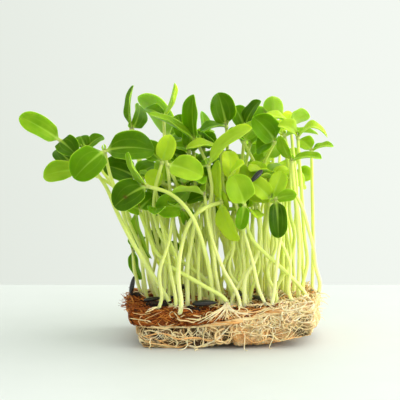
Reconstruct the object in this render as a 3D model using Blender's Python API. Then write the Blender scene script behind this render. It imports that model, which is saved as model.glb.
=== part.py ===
"""Sunflower microgreens: a cut block of root mat and coir with its sprouts, in metres, +Z up.

The front of the block faces -Y and its origin is the middle of its flat underside. The tables and the
layout are in millimetres, and MM turns them to metres where the meshes are made.
"""

import math
import random
from collections import namedtuple

import bmesh
import bpy
import numpy as np
from mathutils import Vector
from mathutils.bvhtree import BVHTree
from mathutils.kdtree import KDTree

MM = 0.001
GAP = 0.3                       # clear space that neighbours keep

# The block: the pale root mat, and the reddish coir on top of it over the left part
ROOT_HALF = (41.5, 27.5)        # half width and half depth
ROOT_CENTRE = (0.8, 0.0)
COIR_HALF = (37.0, 28.0)
COIR_CENTRE = (-8.0, 0.0)
ROOT_LAYER = 10.5               # thickness of the root mat under the coir
BLOCK_TOP = 17.0                # height of the block's top at the left
END_RISE = 3.0                  # how much higher it is at the right end
RISE_FROM, RISE_TO = -25.0, 40.0  # where the root mat climbs through the coir to the top
LUMP, UNDER_LUMP = 0.7, 0.28    # height of the lumps on the top, and where the two layers meet
LUMP_WAVES = ((0.31, 0.17, 0.0), (0.13, -0.41, 1.0), (0.52, 0.36, 2.0))  # along X, along Y and phase
LEFT_HEAP = (-41.0, -6.0, 4.6)  # the heap of coir at the left end: x, y and height
HEAP_REACH = (5.0, 9.0)
END_LIFT = 5.5                  # how far the underside curves up at the right end
LIFT_FROM, LIFT_TO = 20.0, 44.0
HOLLOW = 2.4                    # height of the hollow under the front right, which shows as a dark gap
HOLLOW_X = (-14.0, 0.0, 26.0, 38.0)  # where it starts, is full, is full no more, and ends
HOLLOW_Y = (14.0, 26.0)         # how far in front of the middle it starts, and is full
COIR_LEAST = 1.2                # the coir's least thickness, where the root mat climbs into it
COIR_DIP = 1.2                  # how far the coir reaches into the root mat, before that cuts it
DIP_X, DIP_Y = (30.0, 36.0), (20.0, 25.0)  # how far from the middle that ends
BED_DEPTH = 5.0                 # how far the cutter with the root mat's shape reaches under it
CORNER = 0.17                   # how much a block's corners are rounded
ROOT_INSET, COIR_INSET = 0.040, 0.035  # how far the upper and lower edges draw in, as a share
RIPPLES = ((3, 0.7, 0.022), (8, 2.0, 0.014))  # waves round the outline: number, phase and share
RIM_POWER, INSET_POWER = 6, 3   # how close to the sides and to the edges those two act
ROOT_CUTS, COIR_CUTS = (9, 6, 2), (8, 5, 1)  # cuts of the cubes along X, Y and Z

# The stems
STEM_RADIUS = 1.3
STEM_TOP_RADIUS = 1.05
STEM_POINTS = 8
STEM_RESOLUTION = 0             # a curve's bevel resolution: 0 gives four sides
FOOT_DEPTH = 5.0                # how deep a stem stands in the block
FOOT_LENGTH = 10.0              # the straight stretch at a stem's foot
FOOT_SLOPE = 1.6                # the least rise of that stretch against its run
BEND_ABOVE = 3.0                # a bend less than this above that stretch is left out
HOLE_CLEARANCE = 0.45
HOLE_SIDES = 4
HOLE_ABOVE = 1.5                # how far a hole's cutter passes the straight stretch
FOOT_SPACING = 5.6              # least distance between two feet
TWIN_START = 0.8                # where on the straight stretch that it shares a twin starts
TWIN_APART = 2.4                # how far it leaves that stretch

# The cotyledons
LEAF_THICK = 0.9
SEEN_ROWS, HIDDEN_ROWS = 5, 4
LEAF_START = -0.02              # a blade starts this share of its length behind the head
LEAF_TIP_ROWS = 1.15            # evens out the rows, which crowd to the tip
LEAF_NECK = 0.8                 # half width of the leaf's stalk
NECK_POWER = 3                  # how fast the stalk narrows along the blade
LEAF_LEAST = 0.45               # least half width, at the tip
LEAF_OPENS = (-0.02, 0.22)      # where the stalk opens into the blade
LEAF_WIDEST = 0.55              # where along its length a leaf is widest
LEAF_ROUND = (2.2, 2.5)         # how full the outline is below and above that
LEAF_ARCH = 0.10                # how far the middle bows up, as a share of the length
LEAF_CUP = 0.12                 # how far the edges rise, as a share of the half width

# The seed hulls
HULL_LENGTH, HULL_WIDTH, HULL_THICK = 11.0, 4.8, 3.2
HULL_TAPER = 0.35               # how much narrower the pointed end is
HULL_SIDES, HULL_RINGS = 6, 4
HULL_SPACING = 7.5              # least distance from a foot to the middle of a hull

# The layout: stems, leaves and hulls as rows of balls, which push each other apart
SAMPLE_GAP = 0.8                # clear space that the balls are pushed to
PUSH_SHARE = np.array((0.35, 1.0, 0.12))  # how much of a push goes along X, Y and Z
HOLD = np.array((0.02, 0.0, 0.02))  # how firmly a named sprout keeps its place, seen from the front
RELAX_ROUNDS = 400
LAYOUT_DIGITS = 4               # decimals kept after each round, so that tiny errors don't grow
RENEW = 6                       # rounds between two searches for neighbours
SEARCH_MARGIN = 1.6
STEM_BALLS = 7                  # balls on each stretch of a stem
STEM_BALL = STEM_RADIUS + 0.1
LEAF_BALL = 0.95
LEAF_STEP = 1.7                 # distance between the balls of a leaf
LEAF_ROWS_LEAST = 6
LEAF_BALL_SPAN = (0.05, 0.97)   # where along the midrib they start and end
LEAF_BALL_SIDE = 0.93           # how far across they reach, as a share of the half width
HULL_BALLS = (-0.38, -0.2, 0.0, 0.2, 0.38)  # places along a hull
HULL_BALL_TAPER = 1.3           # how much smaller they get towards its ends
HULL_BALL_MARGIN = 0.5
MOVE_SHARE = 0.8                # how much of its push a point follows in one round
NEIGHBOUR_SHARE = 0.35          # and how much of its neighbours' pushes
KNEE_SHARE = 0.25               # the top of the straight stretch gives way less
KNEE_REST = 0.3                 # the share of the next stretch that the ground doesn't lift
GROUND_HALF = (44.0, 29.0)      # the block's top is the ground within this half width and half depth
GROUND_GAP = 0.2
CURVE_STEPS = 24
TINY = 1e-6
WELD = 0.01                     # points of a tube's caps this close are one

# Facings of a leaf's upper side
FRONT = (0.1, -1.0, 0.3)
FRONT_UP = (0.1, -1.0, 0.6)
UP = (0.0, -0.55, 0.9)
FLAT = (0.0, -0.3, 1.0)
LEFT = (-0.75, -0.55, 0.3)
FAR_LEFT = (-0.9, -0.38, 0.2)
RIGHT = (0.9, -0.5, 0.1)
EDGE_ON = (1.0, -0.1, 0.2)
BACK = (0.1, 1.0, 0.2)
BACK_UP = (0.1, 0.7, 0.6)

Leaf = namedtuple("Leaf", "dx dy dz width face arch", defaults=[LEAF_ARCH])
Sprout = namedtuple("Sprout", "foot bends head leaves twin", defaults=[False])

# The sprouts that can be told apart from the front. Foot: x and y on the block. Bends and head: x, y, z.
# Leaf: from the head to its tip, its width, the way its upper side faces and, where it differs, its arch.
NAMED_SPROUTS = [
    # the long ones that lean out at the left
    Sprout((-22, -19), [(-27, -20, 23), (-34, -19, 34), (-40, -17, 44), (-46, -14, 55), (-50, -10, 67),
                        (-61, -6, 80)], (-75, -4, 91),
           [Leaf(-18, -3, 11, 10.5, FRONT_UP, 0.06), Leaf(8, -8, -6, 10, FRONT)]),
    Sprout((-31, -3), [(-35, -4, 35), (-43, -2, 51), (-50, 2, 69)], (-68, 4, 77),
           [Leaf(-16, 0, -3, 10.5, FRONT_UP), Leaf(-14, 5, 6, 9, FRONT)]),
    Sprout((-27, -13), [(-35, -14, 33), (-43, -13, 48), (-48, -12, 62), (-52, -12, 78)], (-52, -12, 87),
           [Leaf(-13, -6, -12, 15, FRONT_UP, 0.12), Leaf(22, 1, 0, 14.5, FRONT_UP, 0.14)]),
    Sprout((-37, 9), [(-40, 10, 40), (-50, 12, 65)], (-65, 13, 86),
           [Leaf(8, 3, 6, 8, UP), Leaf(-3, 5, 6, 7, FRONT)]),
    Sprout((-20, -8), [(-24, -7, 60)], (-28, -4, 101),
           [Leaf(5, 0, 16, 7, EDGE_ON, 0.05), Leaf(-9, 5, 4, 8, UP)]),
    Sprout((-19, 7), [(-34, 8, 44), (-39, 6, 72)], (-43, 4, 96),
           [Leaf(1, -3, 20, 8, FAR_LEFT, 0.08), Leaf(3, 6, 11, 11, RIGHT)]),
    Sprout((-24, 15), [(-28, 16, 46)], (-26, 15, 91),
           [Leaf(-15, 3, 20, 13, BACK_UP, 0.12), Leaf(8, 8, 3, 10, UP)]),
    # the front middle, with long arching stems
    Sprout((-1, -13), [(-5, -14, 26), (-16, -15, 34), (-27, -15, 45), (-32, -15, 58), (-32, -14, 71)],
           (-30, -13, 82), [Leaf(-11, 6, 7, 10, FRONT_UP), Leaf(4, -3, 12, 8.5, FRONT_UP, 0.14)]),
    Sprout((-9, -5), [(-16, -5, 50), (-19, -8, 66)], (-23, -13, 82),
           [Leaf(15, -4, -5, 11.5, FRONT_UP), Leaf(6, 7, -8, 9, UP, 0.12)]),
    Sprout((-23, 1), [(-32, 0, 47)], (-38, -5, 74),
           [Leaf(-15, -4, 6, 13, FRONT_UP, 0.12), Leaf(10, 7, 5, 11, UP, 0.12)]),
    Sprout((-5, -19), [(-7, -20, 32), (-11, -21, 49), (-15, -22, 59), (-20, -23, 65), (-27, -23, 70)],
           (-35, -23, 72), [Leaf(-14, -2, -9, 13.5, FRONT_UP, 0.16), Leaf(-8, -2, 15, 8, FAR_LEFT, 0.06)]),
    Sprout((-21, -25), [(-20, -29, 17), (-20, -29, 24), (-21, -27, 32), (-20, -24, 43), (-17, -22, 54),
                        (-13, -20, 61)], (-3, -16, 64),
           [Leaf(-1, -2, 19, 8, LEFT, 0.06), Leaf(8, -3, -17, 9.5, LEFT)]),
    Sprout((-17, -20), [(-17, -21, 25), (-17, -18, 36), (-15, -14, 48), (-13, -10, 59)], (-7, -6, 66),
           [Leaf(-10, -2, -3, 8.5, UP), Leaf(6, 6, -7, 8, FRONT)]),
    Sprout((3, -23), [(-2, -24, 24), (-12, -23, 29), (-22, -20, 34), (-30, -17, 40), (-35, -14, 50)],
           (-39, -13, 60), [Leaf(-6, -5, 2, 8.5, FRONT_UP), Leaf(7, 5, 6, 9, FRONT_UP)]),
    Sprout((-35, -8), [(-38, -4, 34)], (-41, 0, 59),
           [Leaf(7, 3, -23, 10, LEFT), Leaf(6, 9, 1, 9, UP)]),
    Sprout((-37, -1), [(-40, -1, 24), (-42, 0, 32)], (-42, 2, 40),
           [Leaf(4, -1, -14, 7.5, LEFT, 0.05), Leaf(3, 9, 5, 8, UP)]),
    Sprout((-30, 16), [(-31, 17, 27)], (-28, 17, 40),
           [Leaf(-7, -1, 7, 9, FRONT), Leaf(6, 3, -3, 7, FRONT)]),
    Sprout((-13, 13), [(-10, 14, 33)], (-8, 14, 49),
           [Leaf(-6, -3, -7, 8, FRONT), Leaf(7, 3, 6, 9, FRONT_UP)]),
    # the tall middle
    Sprout((3, 2), [(0, 2, 63)], (1, 1, 97),
           [Leaf(-4, -3, 15, 11.5, FRONT, 0.06), Leaf(-12, -1, -3, 9.5, FLAT)]),
    Sprout((-7, -7), [(-5, -7, 46), (-8, -6, 75)], (-13, -5, 91),
           [Leaf(-1, -2, 21, 11.5, LEFT, 0.05), Leaf(-21, -3, 12, 9, FLAT, 0.05)]),
    Sprout((-1, -17), [(-5, -18, 36), (-7, -17, 63)], (-8, -16, 80),
           [Leaf(19, -5, 17, 10, UP), Leaf(-7, 9, -5, 8, UP)]),
    Sprout((7, -7), [(1, -7, 46), (0, -8, 71)], (-1, -9, 86),
           [Leaf(-16, -3, 1, 9, FLAT, 0.16), Leaf(5, 6, -8, 8, RIGHT)]),
    Sprout((9, 7), [(8, 5, 63)], (10, 1, 96),
           [Leaf(7, -2, 13, 9, LEFT), Leaf(-5, 4, 10, 9, FRONT)]),
    Sprout((17, 1), [(17, 1, 61)], (22, 0, 91),
           [Leaf(-10, -3, 11, 12, FRONT, 0.14), Leaf(-8, 6, -4, 9, FRONT_UP)]),
    # the front right, with the round bright leaf and the hanging dark one
    Sprout((40, -13), [(36, -15, 22), (28, -18, 32), (17, -20, 42), (10, -20, 51)], (8, -21, 64),
           [Leaf(-5, -2, 13, 12.5, FRONT), Leaf(-2, -1, -11, 6, FRONT)]),
    Sprout((41, -5), [(40, -9, 32), (37, -13, 51), (33, -16, 64), (28, -19, 69)], (22, -21, 66),
           [Leaf(1, -2, -17, 8.5, FRONT, 0.08), Leaf(9, -3, 2, 6, FRONT_UP)]),
    Sprout((21, -12), [(18, -12, 46)], (20, -13, 66),
           [Leaf(-10, -1, 9, 8.5, FRONT), Leaf(5, 3, 12, 8, FRONT)]),
    Sprout((9, -21), [(8, -22, 27), (10, -21, 34), (15, -17, 42), (15, -12, 56)], (11, -8, 71),
           [Leaf(-9, 2, 9, 9, FRONT_UP), Leaf(6, 5, 10, 9, FRONT_UP)]),
    # the straight backlit ones at the right
    Sprout((23, 13), [(23, 12, 62)], (23, 10, 99),
           [Leaf(-1, 2, 12, 9.5, BACK, 0.05), Leaf(-8, 5, 7, 9, BACK_UP)]),
    Sprout((31, -3), [(32, -4, 64)], (30, -5, 98),
           [Leaf(-12, -3, 4, 9, FLAT, 0.12), Leaf(9, 3, 4, 9, BACK_UP, 0.14)]),
    Sprout((38, -10), [(38, -11, 39), (34, -10, 64)], (32, -9, 93),
           [Leaf(13, -2, 0, 8.5, FLAT, 0.38), Leaf(-9, -2, 5, 10, UP, 0.20)]),
    Sprout((41, 5), [(41, 4, 49)], (39, 2, 86),
           [Leaf(10, -1, 2, 6.5, FLAT), Leaf(-5, 4, 5, 8, FRONT_UP)]),
    Sprout((33, -14), [(33, -14, 47)], (29, -11, 83),
           [Leaf(13, -2, 1, 8.5, FLAT), Leaf(-5, -2, 11, 7, LEFT, 0.06)]),
    Sprout((27, 5), [(27, 4, 56)], (26, 3, 86),
           [Leaf(-10, -4, 1, 10, BACK), Leaf(6, 6, -7, 9, FRONT_UP)]),
    Sprout((38, 11), [(36, 10, 44)], (32, 7, 74),
           [Leaf(9, -4, -1, 8.5, FRONT_UP), Leaf(-5, 5, 6, 8, FRONT_UP)]),
    Sprout((28, -6), [(28, -6, 46)], (27, -5, 73),
           [Leaf(-8, -1, 4, 7.5, UP), Leaf(7, 6, -3, 8, FRONT_UP)]),
    # between them, further back
    Sprout((-14, -9), [(-16, -9, 41)], (-19, -12, 62),
           [Leaf(-12, -4, 0, 11, FRONT, 0.12), Leaf(3, 6, -8, 7, FRONT)]),
    Sprout((-11, 3), [(-13, 2, 45), (-18, -2, 65)], (-28, -4, 72),
           [Leaf(-8, -2, 4, 8, FRONT), Leaf(1, 7, 10, 10, FRONT)]),
    Sprout((-5, 11), [(-10, 12, 39)], (-11, 12, 67),
           [Leaf(-6, -3, 6, 9, FRONT), Leaf(6, 3, 6, 9, FRONT_UP)]),
    Sprout((-1, 9), [(-6, 8, 58)], (-10, 6, 87),
           [Leaf(-1, 1, 17, 8, RIGHT, 0.05), Leaf(5, -3, 7, 7.5, FRONT_UP)]),
    Sprout((-9, 19), [(-13, 18, 54)], (-17, 14, 90),
           [Leaf(-4, 2, 12, 9, FRONT), Leaf(-8, -4, -3, 9, FLAT)]),
    Sprout((-13, 5), [(-13, 4, 56)], (-16, 1, 86),
           [Leaf(-9, -3, 2, 7, UP, 0.12), Leaf(1, 6, 9, 8, FRONT_UP)]),
    Sprout((19, -3), [(22, -3, 57), (17, -2, 76)], (8, -3, 91),
           [Leaf(-7, -4, 4, 8, UP, 0.12), Leaf(9, 5, 7, 10, UP, 0.12)]),
]

# The rest of the stand, mostly behind, drawn by a seeded rule
REST_COUNT = 17
REST_TWINS = 9                  # how many of them share the foot of another sprout
REST_SEED = 5
HOST_X, HOST_Y = (-12.0, 30.0), -7.0  # where the feet are that they share, and from which depth on
REST_X = (-36.0, 32.0)
REST_Y = (-6.0, 23.0)
REST_HEIGHT = (66.0, 94.0)
REST_LEAN = (-10.0, 2.0)        # how far a head is to the left or right of its foot
REST_HEAD_X = 27.0              # no head is further to the right
REST_OUT = (3.0, 13.0)          # how far the heads of the back rows lean back
REST_BEND = (0.4, 0.3, 0.55)    # how far the bend is on its way from the foot to the head, in X, Y and Z
REST_SWAY = 3.0                 # and how far it strays to a side
REST_TURN = 0.4                 # how far a leaf strays from lying opposite the other, in radians
REST_RISE = (-0.1, 0.8)         # how steeply a leaf rises, in radians
REST_LENGTH = (14.0, 18.0)
REST_WIDTH = (8.5, 11.0)
REST_TIP = 0.3                  # how far its upper side tips from facing straight up

# Hulls: place, turn about Z and tilt up of the long axis, in degrees, and size against the common one
Hull = namedtuple("Hull", "x y z turn tilt size")
HULLS = [
    Hull(-9.5, -24.0, 19.9, 4, 2, 1.0),
    Hull(-42.4, -8.5, 25.4, 25, 78, 0.75),
    Hull(-33.0, -16.0, 20.2, 20, 6, 0.75),
    Hull(-26.5, -8.5, 19.9, -50, 4, 0.9),
    Hull(6.5, -2.0, 20.5, 70, 8, 0.85),
    Hull(15.0, -16.5, 20.9, 140, 10, 0.7),
    Hull(-20.0, 20.5, 19.8, 165, 4, 0.9),
    Hull(28.5, 20.0, 22.2, 35, 5, 0.8),
]

# Thick roots on the sides of the root mat: start and end bearing in degrees, start and end height as a
# share of the side (-1 bottom, 1 top), radius and the swing of its wave
Root = namedtuple("Root", "start end low high radius wave")
ROOTS = [
    Root(196, 300, 0.74, 0.66, 1.3, 0.05),
    Root(296, 365, 0.62, 0.66, 1.5, 0.06),
    Root(205, 262, -0.10, -0.45, 1.0, 0.16),
    Root(262, 318, 0.05, -0.10, 1.1, 0.15),
    Root(315, 352, -0.15, -0.35, 1.2, 0.15),
    Root(330, 398, 0.25, 0.10, 1.3, 0.20),
    Root(10, 60, -0.10, 0.45, 1.2, 0.15),
    Root(50, 112, 0.30, -0.20, 1.1, 0.12),
    Root(104, 160, -0.20, 0.35, 1.1, 0.12),
    Root(150, 203, 0.30, -0.20, 1.2, 0.12),
]
ROOT_STEPS = 6
ROOT_SWINGS = 1.3               # waves along a root
ROOT_OUT = (-1.2, 0.2)          # how far its ends and its middle stand out of the side, in radii
ROOT_CLEAR = 0.1                # clear space between a root and the table

# The fan of roots at the crown of the front sprout
CROWN_SPROUT = 13
CROWN_SPREAD = (-9.0, -5.0, -1.0, 3.0, 7.5)  # how far to the side each ends
CROWN_START = 0.85              # where on the straight stretch of the foot they start
CROWN_PATH = ((0.4, 0.9, 2.4), (0.8, 0.2, 0.0), (1.0, -0.6, 0.0))  # share of the spread, height, extra rise
CROWN_RADII = (1.0, 0.55)
CROWN_OUT = 2.0                 # how far they stand off the coir's face

# Finishes: colour and roughness
FINISHES = {
    "sprout_green": ((0.16, 0.42, 0.03), 0.45),
    "root_cream": ((0.72, 0.55, 0.33), 0.8),
    "coir_brown": ((0.28, 0.10, 0.04), 0.9),
    "hull_black": ((0.015, 0.014, 0.014), 0.4),
}


def mix(a, b, t):
    return a + (b - a) * t


def smooth_step(low, high, value):
    t = min(max((value - low) / (high - low), 0.0), 1.0)
    return t * t * (3 - 2 * t)


# The block's shape

def lumps(x, y):
    """Low lumps of the block's faces, from -1 to 1."""
    return sum(math.sin(a * x + b * y + phase) for a, b, phase in LUMP_WAVES) / len(LUMP_WAVES)


def block_top(x, y):
    heap_x, heap_y, heap = LEFT_HEAP
    heap *= math.exp(-((x - heap_x) / HEAP_REACH[0]) ** 2 - ((y - heap_y) / HEAP_REACH[1]) ** 2)
    return BLOCK_TOP + END_RISE * smooth_step(0, RISE_TO, x) + LUMP * lumps(x, y) + heap


def root_top(x, y):
    """The root mat is low under the coir and climbs to the block's top at the right end."""
    low = ROOT_LAYER + UNDER_LUMP * lumps(y, x)
    return mix(low, block_top(x, y), smooth_step(RISE_FROM, RISE_TO, x))


def root_bottom(x, y):
    """Flat, but for the hollow at the front and the right end, which curves up."""
    start, full, until, end = HOLLOW_X
    hollow = smooth_step(start, full, x) * (1 - smooth_step(until, end, x)) * smooth_step(*HOLLOW_Y, -y)
    return HOLLOW * hollow + END_LIFT * smooth_step(LIFT_FROM, LIFT_TO, x)


def coir_bottom(x, y):
    """The coir starts as a block that dips into the root mat, whose shape then cuts it."""
    inside = (1 - smooth_step(*DIP_X, abs(x))) * (1 - smooth_step(*DIP_Y, abs(y)))
    return root_top(x, y) + GAP - COIR_DIP * inside


def coir_top(x, y):
    return max(block_top(x, y), root_top(x, y) + GAP + COIR_LEAST)


def bed_bottom(x, y):
    return -BED_DEPTH


def bed_top(x, y):
    return root_top(x, y) + GAP


Slab = namedtuple("Slab", "half centre bottom top inset")
ROOT_SLAB = Slab(ROOT_HALF, ROOT_CENTRE, root_bottom, root_top, ROOT_INSET)
COIR_SLAB = Slab(COIR_HALF, COIR_CENTRE, coir_bottom, coir_top, COIR_INSET)
BED_SLAB = Slab((ROOT_HALF[0] + GAP, ROOT_HALF[1] + GAP), ROOT_CENTRE, bed_bottom, bed_top, ROOT_INSET)


def slab_point(slab, u, v, w):
    """A point of a rounded, wavy block from its place in a cube from -1 to 1."""
    x = u * math.sqrt(1 - CORNER * v * v)
    y = v * math.sqrt(1 - CORNER * u * u)
    rim = max(abs(u), abs(v)) ** RIM_POWER
    bearing = math.atan2(v, u)
    ripple = sum(share * math.sin(waves * bearing + phase) for waves, phase, share in RIPPLES)
    spread = 1 + rim * (ripple - slab.inset * abs(w) ** INSET_POWER)
    x = slab.centre[0] + slab.half[0] * x * spread
    y = slab.centre[1] + slab.half[1] * y * spread
    return x, y, mix(slab.bottom(x, y), slab.top(x, y), (w + 1) / 2)


def side_point(slab, bearing, w, out):
    """A point on a slab's side, pushed out by a distance."""
    c, s = math.cos(bearing), math.sin(bearing)
    reach = max(abs(c), abs(s))
    x, y, z = slab_point(slab, c / reach, s / reach, w)
    away = Vector((c * slab.half[1], s * slab.half[0], 0)).normalized()
    return Vector((x, y, z)) + out * away


def front_bearing(x):
    """The bearing at which a point of the coir's front face has this x."""
    u = (x - COIR_CENTRE[0]) / COIR_HALF[0] / math.sqrt(1 - CORNER)
    return math.atan2(-1.0, u)


# Where each stem runs

def rest_of_stand():
    """Sprouts of the back and the middle, each with its foot clear of the feet before it."""
    rng = random.Random(REST_SEED)
    feet = [s.foot for s in NAMED_SPROUTS]
    hosts = [foot for foot in feet if HOST_X[0] < foot[0] < HOST_X[1] and foot[1] > HOST_Y]
    rng.shuffle(hosts)
    rest = []
    while len(rest) < REST_COUNT:
        twin = len(rest) < REST_TWINS
        foot = hosts[len(rest)] if twin else (rng.uniform(*REST_X), rng.uniform(*REST_Y))
        crowded = min(math.dist(foot, other) for other in feet) < FOOT_SPACING
        blocked = min(math.dist(foot, (hull.x, hull.y)) for hull in HULLS) < HULL_SPACING
        if not twin and (crowded or blocked):
            continue
        feet.append(foot)
        back = smooth_step(0, REST_Y[1], foot[1])
        height = rng.uniform(*REST_HEIGHT)
        head_x = min(foot[0] + rng.uniform(*REST_LEAN), REST_HEAD_X)
        head = (head_x, foot[1] + back * rng.uniform(*REST_OUT), height)
        bend = (mix(foot[0], head[0], REST_BEND[0]) + rng.uniform(-REST_SWAY, REST_SWAY),
                mix(foot[1], head[1], REST_BEND[1]), height * REST_BEND[2])
        heading = rng.uniform(0, math.tau)
        leaves = []
        for side in (0, math.pi):
            turn = heading + side + rng.uniform(-REST_TURN, REST_TURN)
            rise = rng.uniform(*REST_RISE)
            length = rng.uniform(*REST_LENGTH)
            reach = length * math.cos(rise)
            face = (REST_TIP * rng.uniform(-1, 1), REST_TIP * rng.uniform(-1, 1), 1.0)
            leaves.append(Leaf(reach * math.cos(turn), reach * math.sin(turn), length * math.sin(rise),
                               rng.uniform(*REST_WIDTH), face))
        rest.append(Sprout(foot, [bend], head, leaves, twin))
    return rest


def smooth_path(points, count):
    """Points at even steps along a Catmull-Rom curve through the given ones."""
    points = np.array(points, float)
    ends = np.vstack([2 * points[0] - points[1], points, 2 * points[-1] - points[-2]])
    fine = []
    for a, b, c, d in zip(ends, ends[1:], ends[2:], ends[3:]):
        for t in np.linspace(0, 1, CURVE_STEPS, endpoint=False):
            fine.append(0.5 * (2 * b + (c - a) * t + (2 * a - 5 * b + 4 * c - d) * t * t
                               + (3 * b - a - 3 * c + d) * t ** 3))
    fine = np.array(fine + [points[-1]])
    along = np.concatenate([[0], np.cumsum(np.linalg.norm(np.diff(fine, axis=0), axis=1))])
    steps = np.linspace(0, along[-1], count)
    return np.stack([np.interp(steps, along, fine[:, k]) for k in range(3)], axis=1)


def stem_route(sprout):
    """A stem's points: its foot in the block, the end of its straight stretch, and even steps to its head."""
    x, y = sprout.foot
    foot = np.array((x, y, block_top(x, y) - FOOT_DEPTH))
    aim = np.array(sprout.bends[0], float) - foot
    aim[2] = max(aim[2], FOOT_SLOPE * math.hypot(aim[0], aim[1]))
    knee = foot + FOOT_LENGTH * aim / np.linalg.norm(aim)
    later = [b for b in sprout.bends if b[2] > knee[2] + BEND_ABOVE]
    if sprout.twin:
        foot = mix(foot, knee, TWIN_START)
        side = np.array((sprout.head[1] - y, x - sprout.head[0], 0.0))
        knee = knee + side / np.linalg.norm(side) * TWIN_APART
    return np.vstack([foot, smooth_path([knee] + later + [sprout.head], STEM_POINTS - 1)])


# A cotyledon's shape

def leaf_frame(leaf):
    """A leaf's length and its directions: along the midrib, across it, and out of its upper side."""
    along = np.array((leaf.dx, leaf.dy, leaf.dz), float)
    length = np.linalg.norm(along)
    along = along / length
    normal = np.array(leaf.face, float)
    normal = normal - normal.dot(along) * along
    normal = normal / np.linalg.norm(normal)
    return length, along, np.cross(normal, along), normal


def leaf_half_width(leaf, t):
    """The cotyledon's outline: a short stalk that opens into a long oval."""
    if t < LEAF_WIDEST:
        share = math.sqrt(max(0.0, 1 - ((LEAF_WIDEST - t) / LEAF_WIDEST) ** LEAF_ROUND[0]))
    else:
        share = math.sqrt(max(0.0, 1 - ((t - LEAF_WIDEST) / (1 - LEAF_WIDEST)) ** LEAF_ROUND[1]))
    blade = leaf.width / 2 * share * smooth_step(*LEAF_OPENS, t)
    return max(blade, LEAF_NECK * (1 - t) ** NECK_POWER, LEAF_LEAST)


def leaf_point(leaf, t, v):
    """A point of the leaf's middle surface from the head, t along the midrib and v across it, -1 to 1."""
    length, along, across, normal = leaf_frame(leaf)
    half = leaf_half_width(leaf, t)
    bow = leaf.arch * length * 4 * t * (1 - t)
    rise = LEAF_CUP * half * v * v
    return along * (length * t) + across * (half * v) + normal * (bow + rise)


# The layout

def sample_sprouts(sprouts):
    """Small balls along every stem and over every leaf, each hung on one or two of its stem's points."""
    rows = []
    last = STEM_POINTS - 1
    for number, sprout in enumerate(sprouts):
        for k in range(1, last):
            for step in range(STEM_BALLS):
                rows.append((number, k, step / STEM_BALLS, (0, 0, 0), STEM_BALL))
        for leaf in sprout.leaves:
            length = leaf_frame(leaf)[0]
            for t in np.linspace(*LEAF_BALL_SPAN, max(LEAF_ROWS_LEAST, round(length / LEAF_STEP))):
                across = max(1, round(2 * leaf_half_width(leaf, t) / LEAF_STEP))
                for v in ([0] if across == 1 else np.linspace(-LEAF_BALL_SIDE, LEAF_BALL_SIDE, across + 1)):
                    rows.append((number, last, 0.0, tuple(leaf_point(leaf, t, v)), LEAF_BALL))
    owner, knot, share, offset, radius = zip(*rows)
    return np.array(owner), np.array(knot), np.array(share), np.array(offset), np.array(radius)


def near_pairs(places, owner, reach):
    """Pairs of balls of different owners that are within reach of each other."""
    tree = KDTree(len(places))
    for index, place in enumerate(places):
        tree.insert(place, index)
    tree.balance()
    pairs = []
    for index, place in enumerate(places):
        for _, other, _ in tree.find_range(place, reach):
            if other > index and owner[other] != owner[index]:
                pairs.append((index, other))
    return np.array(pairs).T if pairs else np.zeros((2, 0), int)


def pushes(places, radius, first, second):
    """The pairs that are too close, and the way that the first ball of each has to move."""
    between = places[first] - places[second]
    away = np.linalg.norm(between, axis=1)
    short = radius[first] + radius[second] + SAMPLE_GAP - away
    close = short > 0
    push = between[close] / np.maximum(away[close], TINY)[:, None] * PUSH_SHARE
    push *= (short[close] / np.maximum(np.linalg.norm(push, axis=1), TINY))[:, None]
    return first[close], second[close], push


def hull_balls():
    """Balls that fill the hulls, which the stems are bent clear of."""
    places, radii = [], []
    for hull in HULLS:
        turn, tilt = math.radians(hull.turn), math.radians(hull.tilt)
        along = np.array((math.cos(turn) * math.cos(tilt), math.sin(turn) * math.cos(tilt), math.sin(tilt)))
        for share in HULL_BALLS:
            places.append(np.array((hull.x, hull.y, hull.z)) + along * (share * HULL_LENGTH * hull.size))
            half = hull.size * HULL_WIDTH / 2
            radii.append(half * (1 - HULL_BALL_TAPER * abs(share)) + HULL_BALL_MARGIN)
    return np.array(places), np.array(radii)


def ground_under(places):
    """The height of the block's top under each place, or of the table beside the block."""
    return np.array([block_top(x, y) if abs(x) < GROUND_HALF[0] and abs(y) < GROUND_HALF[1] else 0.0
                     for x, y in places[:, :2]])


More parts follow.
